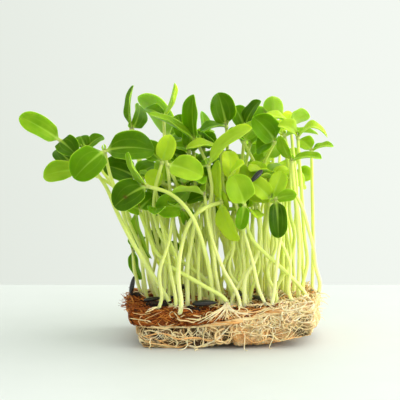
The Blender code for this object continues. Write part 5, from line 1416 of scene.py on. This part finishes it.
def stem_finish(name, clear):
    """Juicy pale tissue under a smooth skin: white at the foot, green towards the leaves, clear to light."""
    made, tree = new_finish(name)
    along = add(tree, "ShaderNodeAttribute", attribute_name="along").outputs["Fac"]
    tone = add(tree, "ShaderNodeAttribute", attribute_name="tone").outputs["Fac"]
    place = add(tree, "ShaderNodeTexCoord").outputs["Object"]
    drawn = add(tree, "ShaderNodeMapping", {"Vector": place, "Scale": (1.0, 1.0, 0.12)}).outputs[0]
    streaks = add(tree, "ShaderNodeTexNoise", {"Vector": drawn, "Scale": 1500.0, "Detail": 3.0}).outputs[0]
    low = add(tree, "ShaderNodeMapRange", {0: along, 1: 0.0, 2: 0.3}).outputs[0]
    high = add(tree, "ShaderNodeMapRange", {0: along, 1: 0.35, 2: 1.0}).outputs[0]
    colour = add(tree, "ShaderNodeMix", {0: low, 6: STEM_FOOT, 7: STEM_MIDDLE}, data_type="RGBA").outputs[2]
    colour = add(tree, "ShaderNodeMix", {0: high, 6: colour, 7: STEM_TOP}, data_type="RGBA").outputs[2]
    colour = add(tree, "ShaderNodeMix", {0: tone, 6: colour, 7: STEM_GREEN}, data_type="RGBA").outputs[2]
    faint = add(tree, "ShaderNodeMapRange", {0: streaks, 1: 0.4, 2: 0.75, 3: 0.0, 4: 0.35}).outputs[0]
    colour = add(tree, "ShaderNodeMix", {0: faint, 6: colour, 7: STEM_GREEN}, data_type="RGBA").outputs[2]
    bump = add(tree, "ShaderNodeBump", {"Strength": 0.25, "Distance": 0.00012, "Height": streaks}).outputs[0]
    shader = add(tree, "ShaderNodeBsdfPrincipled", {
        "Base Color": colour, "Roughness": 0.34, "IOR": 1.38, "Specular IOR Level": 0.4, "Normal": bump, "Subsurface Weight": clear,
        "Subsurface Radius": (1.0, 1.0, 0.45), "Subsurface Scale": 0.0020})
    add(tree, "ShaderNodeOutputMaterial", {"Surface": shader.outputs[0]})
    return made


# where several stalks meet, light can't be followed from one into the next, so the knot is opaque
STEM_FINISH, KNOT_FINISH = stem_finish("juicy_stem", 1.0), stem_finish("knot_of_stalks", 0.0)

# %% How dark each leaf is, and how much painted light and shade it has
# From 0, a dark upper side in painted shade, to 1, a bright leaf with painted light behind it, for the two leaves of
# each named sprout: partly each leaf's own colour, partly painted light and shade
LEAF_TONE_AND_PAINTED_LIGHT = [(0.58, 0.15), (0.66, 0.12), (0.42, 0.24), (0.30, 0.25), (0.85, 0.35), (0.30, 0.30), (0.66, 0.30),
         (0.40, 0.90), (0.70, 0.25), (0.15, 0.40), (0.14, 0.60), (0.92, 0.90), (0.35, 0.30), (0.60, 0.40),
         (0.62, 0.30), (0.35, 0.30), (0.25, 0.30), (0.35, 0.35), (0.22, 0.35), (0.42, 0.60), (0.80, 0.45),
         (0.80, 0.40), (0.16, 0.45), (0.40, 0.50), (0.67, 0.50), (0.08, 0.62), (0.78, 0.78), (0.84, 0.78),
         (0.90, 0.70), (0.80, 0.78), (0.80, 0.76), (0.60, 0.70), (0.60, 0.60), (0.86, 0.78), (0.78, 0.82),
         (0.90, 0.80), (0.55, 0.40), (0.92, 0.66), (0.45, 0.45), (0.50, 0.55), (0.35, 0.35), (0.45, 0.40),
         (0.50, 0.55)]
TONE_SEED = 3
HIDDEN_TONES = (0.24, 0.68)
tone_rng = random.Random(TONE_SEED)
while len(LEAF_TONE_AND_PAINTED_LIGHT) < len(SPROUTS):
    # painted backlight: the further right a sprout stands, the brighter its leaves are painted, as the light comes
    # from the right
    painted_backlight = 0.4 * smooth_step(-5, 28, SPROUTS[len(LEAF_TONE_AND_PAINTED_LIGHT)].foot[0])
    LEAF_TONE_AND_PAINTED_LIGHT.append(tuple(tone_rng.uniform(*HIDDEN_TONES) + painted_backlight for _ in range(2)))
print("tones", len(LEAF_TONE_AND_PAINTED_LIGHT))

# %% One seed leaf
GROOVE, GROOVE_HALF = 0.30, 0.55  # depth and half width of the groove along the midrib
KEEL = 0.18                      # how much further the rib stands out below
SIDE_GROOVE, SIDE_GROOVE_HALF = 0.07, 0.5
SIDE_VEIN_OUT = 0.5              # how far out the side veins run, as a share of the half width
NET_SLANT = 0.8                  # how steeply the net leaves the midrib
EDGE_THIN = 0.06                 # half thickness at the very edge
RIB_WIDTH = (0.6, 1.4)            # how wide the pale rib is at the tip, and how much wider at the stalk
FOLD, FOLD_SOFT = 0.26, 0.16      # how steeply the two halves rise from the midrib, and how soft the fold is
MARGIN_WAVE = 0.38               # how far the margins wave up and down
STALK_SWELL = 0.9                # how much thicker the stalk is than the blade
SPECK_AT, SPECK_SIZE = 0.62, 0.8  # a brown speck, on the one leaf that has it


def blade_stamp(piece, template, leaf, head, thick, tone, rng, speck=0.0):
    """Stamps a blade: the leaf's surface with its groove and waving margins, and a thickness that ends at the rim."""
    length, along, across, normal = leaf_frame(leaf)
    t = mix(LEAF_START, 1.0, np.sin((template.y + 1) / 2 * math.pi / 2) ** LEAF_TIP_ROWS)
    v = -np.sin(template.x * math.pi / 2)
    half = np.array([leaf_half_width(leaf, share) for share in t])
    beside = np.abs(v) * half
    vein = beside - SIDE_VEIN_OUT * half * np.sin(np.pi * np.clip(0.08 + 0.9 * t, 0, 1)) ** 0.5
    fade = np.clip(1 - t, 0, 1) ** 0.6
    size = min(1.0, length / 14)
    relief = -GROOVE * fade * np.exp(-(beside / GROOVE_HALF) ** 2)
    relief -= SIDE_GROOVE * fade * np.exp(-(vein / SIDE_GROOVE_HALF) ** 2)
    first, second = rng.uniform(0, math.tau), rng.uniform(0, math.tau)
    waves = np.sin(math.tau * 1.2 * t + first) * v + 0.6 * np.sin(math.tau * 2.2 * t + second) * v * v
    curl = rng.uniform(-0.05, 0.07) * half * np.abs(v) ** 3
    bow = leaf.arch * length * 4 * t * (1 - t)
    rise = LEAF_CUP * half * v * v + FOLD * half * (np.sqrt(v * v + FOLD_SOFT ** 2) - FOLD_SOFT) * np.clip(4 * t, 0, 1)
    lift = bow + rise + size * (relief + MARGIN_WAVE * waves * np.clip(4 * t, 0, 1)) - curl
    swell = 1 + STALK_SWELL * (1 - np.clip(t / 0.2, 0, 1)) ** 2
    end = 1 - 0.6 * np.clip((t - 0.8) / 0.2, 0, 1) ** 2
    body = thick / 2 * swell * end * np.sqrt(np.clip(1 - v ** 4, 0, 1))
    body = np.maximum(body, EDGE_THIN)
    above = template.z > 0
    widen = RIB_WIDTH[0] + RIB_WIDTH[1] * (1 - np.clip(t, 0, 1)) ** 2
    keel = np.where(above, 0.0, KEEL * size * fade * np.exp(-(beside / GROOVE_HALF) ** 2))
    out = lift + np.where(above, body, -body) - keel
    # the template's x runs against the leaf's own, so that the faces still point outwards
    places = head + np.outer(length * t, along) + np.outer(half * v, across) + np.outer(out, normal)
    piece.stamp(template, places, 0, tone=tone, upper=above.astype(float), rib=beside / widen, vein=vein,
                fan=length * t - NET_SLANT * beside, along=t, edge=np.abs(v),
                speck=speck * np.exp(-((length * (t - SPECK_AT)) ** 2 + beside ** 2) / SPECK_SIZE ** 2))


# %% One stem
SWELL_WAVES = 0.03               # how much a stem's thickness wanders
COLLAR = 0.10                    # how much thicker it is where it leaves the coir
COLLAR_REACH = 0.12
SLIM_FRONT, SLIM_BACK = 0.78, 0.68  # a round stem next to the square one that stands for it in the model
SLIM_Y = (-17.0, -8.0)           # where it goes from the one to the other


def stem_stamp(piece, route, tone, rng):
    """Stamps a stem along its route, a little thicker at the foot and under the leaves."""
    path = smooth_path(route, int(STEM.ring.max()) + 1)
    share = np.linspace(0, 1, len(path))
    slim = mix(SLIM_FRONT, SLIM_BACK, smooth_step(*SLIM_Y, route[0][1]))
    radii = slim * mix(STEM_RADIUS, STEM_TOP_RADIUS, share)
    radii = radii * (1 + COLLAR * np.exp(-(share / COLLAR_REACH) ** 2))
    radii = radii * (1 + SWELL_WAVES * np.sin(share * 9 + rng.uniform(0, math.tau)))
    piece.stamp(STEM, tube_places(STEM, path, radii), 1, along=share[STEM.ring], tone=tone)


def fine_route(number):
    """A stem's route. A twin leaves its host in the model, and here its own foot stands beside the host's."""
    route = ROUTES[number].copy()
    sprout = SPROUTS[number]
    if sprout.twin:
        x, y = sprout.foot
        foot = np.array((x, y, block_top(x, y) - FOOT_DEPTH))
        side = np.array((sprout.head[1] - y, x - sprout.head[0], 0.0))
        route[0] = foot + side / np.linalg.norm(side) * TWIN_APART
    return route


# %% [markdown]
# The front sprout that leans far left has its crown out of the coir, and a fan of pale roots runs from there down
# the face of the block. It grew as one with its stem, so it is in the same piece.

# %% The fan of crown roots
CROWN_SPROUT = 13
CROWN_START = 0.85
CROWN_FAN = 17
CROWN_REACH = (-14.5, 11.5)      # how far to the side the outermost of them end


def crown_stamp(piece, route):
    """Stamps the fan: thin tapering roots from the crown over the edge and down the coir."""
    rng = random.Random(CROWN_SPROUT)
    crown = mix(route[0], route[1], CROWN_START)
    for index in range(CROWN_FAN):
        spread = mix(*CROWN_REACH, (index + rng.uniform(-0.6, 0.6)) / (CROWN_FAN - 1))
        down, off = rng.uniform(-1.3, -0.1), rng.uniform(1.0, 2.4)
        start = crown + np.array((rng.uniform(-0.5, 0.5), rng.uniform(-0.6, 0.2), rng.uniform(-0.3, 0.6)))
        points = [start]
        for share, w, rise, out in ((0.22, 1.0, 1.2, 0.8), (0.55, 0.7, 0.0, off), (0.85, mix(0.7, down, 0.6), 0.0, off * 0.8),
                                    (1.0, down, 0.0, 0.1)):
            x = crown[0] + spread * share ** 1.3 + rng.uniform(-0.6, 0.6)
            at = side_point(COIR_SLAB, front_bearing(x), w, out)
            points.append(np.array((x, at.y, at.z + rise)))
        path = smooth_path(points, int(ROOTLET.ring.max()) + 1)
        radii = np.linspace(rng.uniform(0.3, 0.52), 0.12, len(path))
        piece.stamp(ROOTLET, tube_places(ROOTLET, path, radii), 2, tone=rng.uniform(0.45, 1.0))


# %% Roots at the other feet
FOOT_ROOTS = (2, 5)
FOOT_REACH = (2.5, 7.5)


def foot_roots(piece, route, rng):
    """A few pale roots that leave the stem just over the bed, arch and dive into it."""
    x, y = route[0][:2]
    start = mix(route[0], route[1], min(1.0, (FOOT_DEPTH + 1.2) / max(route[1][2] - route[0][2], TINY)))
    for _ in range(rng.randint(*FOOT_ROOTS)):
        heading, reach = rng.uniform(0, math.tau), rng.uniform(*FOOT_REACH)
        points = [start]
        for share, rise in ((0.35, 1.0), (0.7, 0.6), (1.0, -0.7)):
            heading += rng.uniform(-0.4, 0.4)
            rx, ry = start[0] + math.cos(heading) * reach * share, start[1] + math.sin(heading) * reach * share
            points.append(np.array((rx, ry, (top_at(rx, ry) or start[2] - 1) + rise)))
        strand_stamp(piece, points, rng.uniform(0.25, 0.5), 0.12, rng.uniform(0.4, 1.0), finish=2)


# %% Grow every sprout
SPECKLED = (10, 0)               # the sprout and the leaf with the brown speck
HEAD_SWELL = 1.05                # radius of the knot that stem and leaves grow from
BUD_SHARE = 0.7                  # how many show the two tiny true leaves
BENT_ASIDE = {(1, 1): (3, 5, 3), (28, 1): (-4, 4, -4)}  # second leaves that would cut through the first
STEM_TONES = (0.0, 0.6)


def grow_sprout(piece, number):
    """Stem, knot, two seed leaves and, on most, the tiny bud between them."""
    rng = random.Random(1000 + number)
    sprout, route = SPROUTS[number], fine_route(number)
    head = route[-1]
    stem_stamp(piece, route, rng.uniform(*STEM_TONES), rng)
    knot_path = np.array([head + (route[-1] - route[-2]) * s / 10 for s in np.linspace(-1.2, 0.55, 14)])
    knot = HEAD_SWELL * np.sqrt(np.clip(1 - np.linspace(-0.98, 0.98, 14) ** 2, 0, 1))
    piece.stamp(ROOTLET, tube_places(ROOTLET, knot_path, knot), 3, along=0.9, tone=0.5)
    foot_roots(piece, route, rng)
    for which, (leaf, tone) in enumerate(zip(sprout.leaves, LEAF_TONE_AND_PAINTED_LIGHT[number])):
        aside = BENT_ASIDE.get((number, which), (0, 0, 0))
        leaf = leaf._replace(dx=leaf.dx + aside[0], dy=leaf.dy + aside[1], dz=leaf.dz + aside[2])
        speck = 1.0 if (number, which) == SPECKLED else 0.0
        blade_stamp(piece, BLADE, leaf, head, LEAF_THICK, tone, rng, speck)
    if rng.random() < BUD_SHARE:
        upward = route[-1] - route[-2]
        upward = upward / np.linalg.norm(upward)
        for lean in (-1, 1):
            way = upward * rng.uniform(2.6, 3.6) + lean * 0.35 * np.array((1.0, 0.4, 0.0))
            bud = Leaf(*way, rng.uniform(1.5, 2.0), (lean, 0.4, 0.1), 0.12)
            blade_stamp(piece, BUD, bud, head, 0.5, 0.75, rng)
    if number == CROWN_SPROUT:
        crown_stamp(piece, ROUTES[number])


SHOOT_VALUES = ("tone", "upper", "rib", "vein", "fan", "along", "edge", "speck")
SHOOT_FINISHES = [LEAF_FINISH, STEM_FINISH, STRAND_FINISH, KNOT_FINISH]
worst = 0.0
for node in sorted(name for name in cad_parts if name.startswith("sprout")):
    shoots = Piece(*SHOOT_VALUES)
    for member in node.split("_")[1:]:
        grow_sprout(shoots, int(member) - 1)
    grown = shoots.done(node.replace("sprout", "shoot"), SHOOT_FINISHES, node)
    bpy.context.view_layer.update()
    for corner, end in zip(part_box(node), (grown.bound_box[0], grown.bound_box[6])):
        worst = max(worst, *[abs(a - b) for a, b in zip(corner, end)])
print("the fine sprouts' boxes are within", round(worst / MM, 1), "mm of their nodes'")

# %% [markdown]
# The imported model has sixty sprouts, and the real block has more: between those that can be told apart stand
# slimmer ones, which make it a thicket. They are placed by trial. Of several dozen courses from foot to head, each
# keeps the one that stays clearest of everything that is already there, and so does each of its leaves.

# %% Slender sprouts between the others
FILL_SEED = 29
FILL_WANTED, CROSSERS = 116, 22       # how many in all, and how many of them cross in front of the others
FILL_X, FILL_Y, FILL_Z = (-33, 34), (-17, 25), (64, 97)
FILL_LEAN, FILL_TIP, FILL_SWAY = (-10, 4), (-4, 4), 3.6
FILL_OUT = (0, 14)               # how much more the ones at the back lean out
CROSS_Y, CROSS_Z, CROSS_LEAN, CROSS_TIP = (-26, -15), (58, 80), (-34, 18), (5, 16)
FILL_TRIES, FILL_LEAF_TRIES = 60, 50
FILL_RADIUS = (0.86, 0.66)       # at the foot and at the head
FILL_HEAD_X = (-45, 29)          # how far to the left and the right their heads may be
FILL_REACH = (-40, 35)           # how far to the left and the right their leaves may be
SEEN_X, SEEN_Z = (-43, -31), (26, 60)  # no new stem passes in front of the leaves that hang here
FILL_CLEAR = 0.6                 # a course with this much free space round it is taken at once
FILL_LENGTH, FILL_WIDTH = (10, 16), (0.5, 0.68)  # width as a share of the length
STEM_GIRTH, BLADE_GIRTH = 1.15, 1.0  # space round the points that stand for a stem and for a blade
BLADE_TS, BLADE_VS = np.linspace(0.1, 0.98, 8), (-0.85, -0.4, 0.0, 0.4, 0.85)
SLIM_STEM, SLIM_BLADE = tube_template(9, 30), blade_template(12, 20)


def blade_spots(leaf, head):
    return [head + leaf_point(leaf, t, v) for t in BLADE_TS for v in BLADE_VS]


def free_space(tree, girths, places, own):
    """The least space between the places and the surfaces round them."""
    return min(away - girths[index] for place in places for _, index, away in tree.find_n(place, 2)) - own


def grown_tree(spots):
    tree = KDTree(len(spots))
    for index, spot in enumerate(spots):
        tree.insert(spot, index)
    tree.balance()
    return tree


spots, girths = [], []
for number, sprout in enumerate(SPROUTS):
    stem_spots = list(smooth_path(fine_route(number), 60))
    leaf_spots = [spot for leaf in sprout.leaves for spot in blade_spots(leaf, ROUTES[number][-1])]
    spots += stem_spots + leaf_spots
    girths += [STEM_GIRTH] * len(stem_spots) + [BLADE_GIRTH] * len(leaf_spots)

rng = random.Random(FILL_SEED)
slender = []
for attempt in range(FILL_WANTED):
    tree = grown_tree(spots)
    best = None
    crossing = attempt < CROSSERS
    ranges = (CROSS_Y, CROSS_Z, CROSS_LEAN, CROSS_TIP) if crossing else (FILL_Y, FILL_Z, FILL_LEAN, FILL_TIP)
    depths, heights, leans, tips = ranges
    for _ in range(FILL_TRIES * (3 if crossing else 1)):
        x, y, z = rng.uniform(*FILL_X), rng.uniform(*depths), rng.uniform(*heights)
        lean = rng.uniform(*leans) * z / FILL_Z[1]
        tip = rng.uniform(*tips) + rng.uniform(*FILL_OUT) * smooth_step(0, FILL_Y[1], y)
        foot = (x, y, block_top(x, y) - FOOT_DEPTH)
        if not FILL_HEAD_X[0] < x + lean < FILL_HEAD_X[1]:
            continue
        bends = [(x + lean * share + rng.uniform(-FILL_SWAY, FILL_SWAY), y + tip * share ** 2 + rng.uniform(-2, 2),
                  mix(foot[2], z, share ** 1.2)) for share in (0.25, 0.5, 0.75)]
        path = smooth_path([foot, *bends, (x + lean, y + tip, z)], int(SLIM_STEM.ring.max()) + 1)
        if any(SEEN_X[0] < px < SEEN_X[1] and SEEN_Z[0] < pz < SEEN_Z[1] and py < 0 for px, py, pz in path):
            continue
        free = free_space(tree, girths, path[4:], FILL_RADIUS[0])
        if best is None or free > best[0]:
            best = (free, path)
        if free > FILL_CLEAR:
            break
    free, path = best or (-1.0, None)
    if free < 0:
        continue
    head, leaves = path[-1], []
    heading = rng.uniform(0, math.tau)
    for side in (0.0, math.pi):
        best = None
        for step in range(FILL_LEAF_TRIES):
            length = rng.uniform(*FILL_LENGTH) * (1 - 0.4 * step / FILL_LEAF_TRIES)
            turn, rise = heading + side + rng.uniform(-0.9, 0.9), rng.uniform(-0.3, 1.2)
            reach = length * math.cos(rise)
            leaf = Leaf(reach * math.cos(turn), reach * math.sin(turn), length * math.sin(rise),
                        length * rng.uniform(*FILL_WIDTH), (rng.uniform(-0.7, 0.7), rng.uniform(-1.3, 0.3), rng.uniform(0.4, 1.0)))
            if not FILL_REACH[0] < head[0] + leaf.dx < FILL_REACH[1]:
                continue
            free = free_space(tree, girths, blade_spots(leaf, head)[5:], LEAF_THICK / 2)
            if best is None or free > best[0]:
                best = (free, leaf)
            if free > 0.3:
                break
        if best and best[0] > -0.6:
            leaves.append(best[1])
    if len(leaves) < 2:
        # two blades that are still folded together
        leaves = [Leaf(side * 1.2, 0.5 * side, 7.5, 4.2, (-side, -0.3, 0.1), 0.1) for side in (-1, 1)]
    slender.append((path, leaves))
    own = [spot for leaf in leaves for spot in blade_spots(leaf, head)]
    spots += list(path) + own
    girths += [STEM_GIRTH] * len(path) + [BLADE_GIRTH] * len(own)

SLENDER_A_PIECE = 20
for start in range(0, len(slender), SLENDER_A_PIECE):
    shoots = Piece(*SHOOT_VALUES)
    for path, leaves in slender[start:start + SLENDER_A_PIECE]:
        share = np.linspace(0, 1, len(path))
        radii = mix(*FILL_RADIUS, share)
        shoots.stamp(SLIM_STEM, tube_places(SLIM_STEM, path, radii), 1, along=share[SLIM_STEM.ring],
                     tone=rng.uniform(*STEM_TONES))
        foot_roots(shoots, path[[0, 5]], rng)
        # painted backlight: the further right a slender sprout stands, the brighter its leaves are painted, as the
        # light comes from the right
        painted_backlight = 0.55 * smooth_step(-14, 24, path[0][0])
        for leaf in leaves:
            blade_stamp(shoots, SLIM_BLADE, leaf, path[-1], LEAF_THICK, rng.uniform(*HIDDEN_TONES) + painted_backlight, rng)
    shoots.done(f"slender_shoots_{start // SLENDER_A_PIECE + 1}", SHOOT_FINISHES)
print("slender sprouts", len(slender), "with open leaves", sum(leaves[0].width > 4.2 for _, leaves in slender))

# %% [markdown]
# ## The seed hulls
# A hull is the empty shell of a sunflower seed: a flattened drop, blunt at one end and pointed at the other, woody
# and satin, almost black, with faint grey stripes along it and a seam along each edge where it splits.

# %% Finish of the hulls
def hull_finish():
    """Woody shell: near black, satin, with faint grey stripes and fine lengthwise grain at about 0.3 mm."""
    made, tree = new_finish("sunflower_hull")
    stripe = add(tree, "ShaderNodeAttribute", attribute_name="stripe").outputs["Fac"]
    place = add(tree, "ShaderNodeTexCoord").outputs["Object"]
    mottle = add(tree, "ShaderNodeTexNoise", {"Vector": place, "Scale": 1500.0, "Detail": 3.0}).outputs[0]
    worn = add(tree, "ShaderNodeMath", {0: stripe, 1: mottle}, operation="MULTIPLY").outputs[0]
    share = add(tree, "ShaderNodeMapRange", {0: worn, 1: 0.28, 2: 0.6, 3: 0.0, 4: 0.5}).outputs[0]
    colour = add(tree, "ShaderNodeMix", {0: share, 6: linear("1B1A1A"), 7: linear("6C6762")}, data_type="RGBA").outputs[2]
    rough = add(tree, "ShaderNodeMapRange", {0: mottle, 3: 0.26, 4: 0.46}).outputs[0]
    bump = add(tree, "ShaderNodeBump", {"Strength": 0.4, "Distance": 0.0002, "Height": mottle}).outputs[0]
    shader = add(tree, "ShaderNodeBsdfPrincipled", {"Base Color": colour, "Roughness": rough, "Normal": bump})
    add(tree, "ShaderNodeOutputMaterial", {"Surface": shader.outputs[0]})
    return made


HULL_FINISH = hull_finish()

# %% The hulls
HULL_STRIPES = 7
SEAM = 0.07                      # depth of the seam along each edge, as a share

bm = bmesh.new()
bmesh.ops.create_uvsphere(bm, u_segments=42, v_segments=20, radius=1)
SHELL = as_template(bm)


def hull_stamp(piece, hull):
    """Stamps a hull: a ball drawn to a point at one end, flattened, ribbed and with its two seams."""
    taper = (1 - HULL_TAPER * (SHELL.z + 1) / 2) / 2
    bearing = np.arctan2(SHELL.y, SHELL.x)
    seam = 1 - SEAM * np.exp(-(np.sin(bearing) / 0.16) ** 2)
    ribs = 1 + 0.018 * np.cos(2 * HULL_STRIPES * bearing)
    along = SHELL.z * HULL_LENGTH / 2
    wide = SHELL.x * taper * HULL_WIDTH * seam * ribs
    thick = SHELL.y * taper * HULL_THICK * ribs
    turn, tilt = math.radians(hull.turn), math.radians(hull.tilt)
    along, thick = along * math.cos(tilt) - thick * math.sin(tilt), along * math.sin(tilt) + thick * math.cos(tilt)
    along, wide = along * math.cos(turn) - wide * math.sin(turn), along * math.sin(turn) + wide * math.cos(turn)
    places = np.stack([along, wide, thick], axis=1) * hull.size + np.array((hull.x, hull.y, hull.z))
    piece.stamp(SHELL, places, 0, stripe=(0.5 + 0.5 * np.cos(HULL_STRIPES * bearing)) * (1 - SHELL.z ** 2))


for number, hull in enumerate(HULLS):
    husk = Piece("stripe")
    hull_stamp(husk, hull)
    husk.done(f"husk_{number + 1}", [HULL_FINISH], f"hull_{number + 1}")

# One hull hangs on the tip of a front leaf, where the seedling has just pushed it off
CAUGHT_ON, CAUGHT_LEAF = 26, 0
leaf = SPROUTS[CAUGHT_ON].leaves[CAUGHT_LEAF]
tip = ROUTES[CAUGHT_ON][-1] + leaf_point(leaf, 0.96, 0.0)
husk = Piece("stripe")
hull_stamp(husk, Hull(tip[0] + 2.6, tip[1] - 3.4, tip[2] + 1.8, 215, -38, 0.8))
husk.done("husk_on_leaf", [HULL_FINISH])
print("hulls", len(HULLS) + 1, "the caught one at", [round(float(c), 1) for c in tip])

# %% [markdown]
# ## The last step
# The last line brings the view layer up to date. The visual model may stand only a little outside the imported
# model's box.

# %% Bring the view layer up to date
bpy.context.view_layer.update()
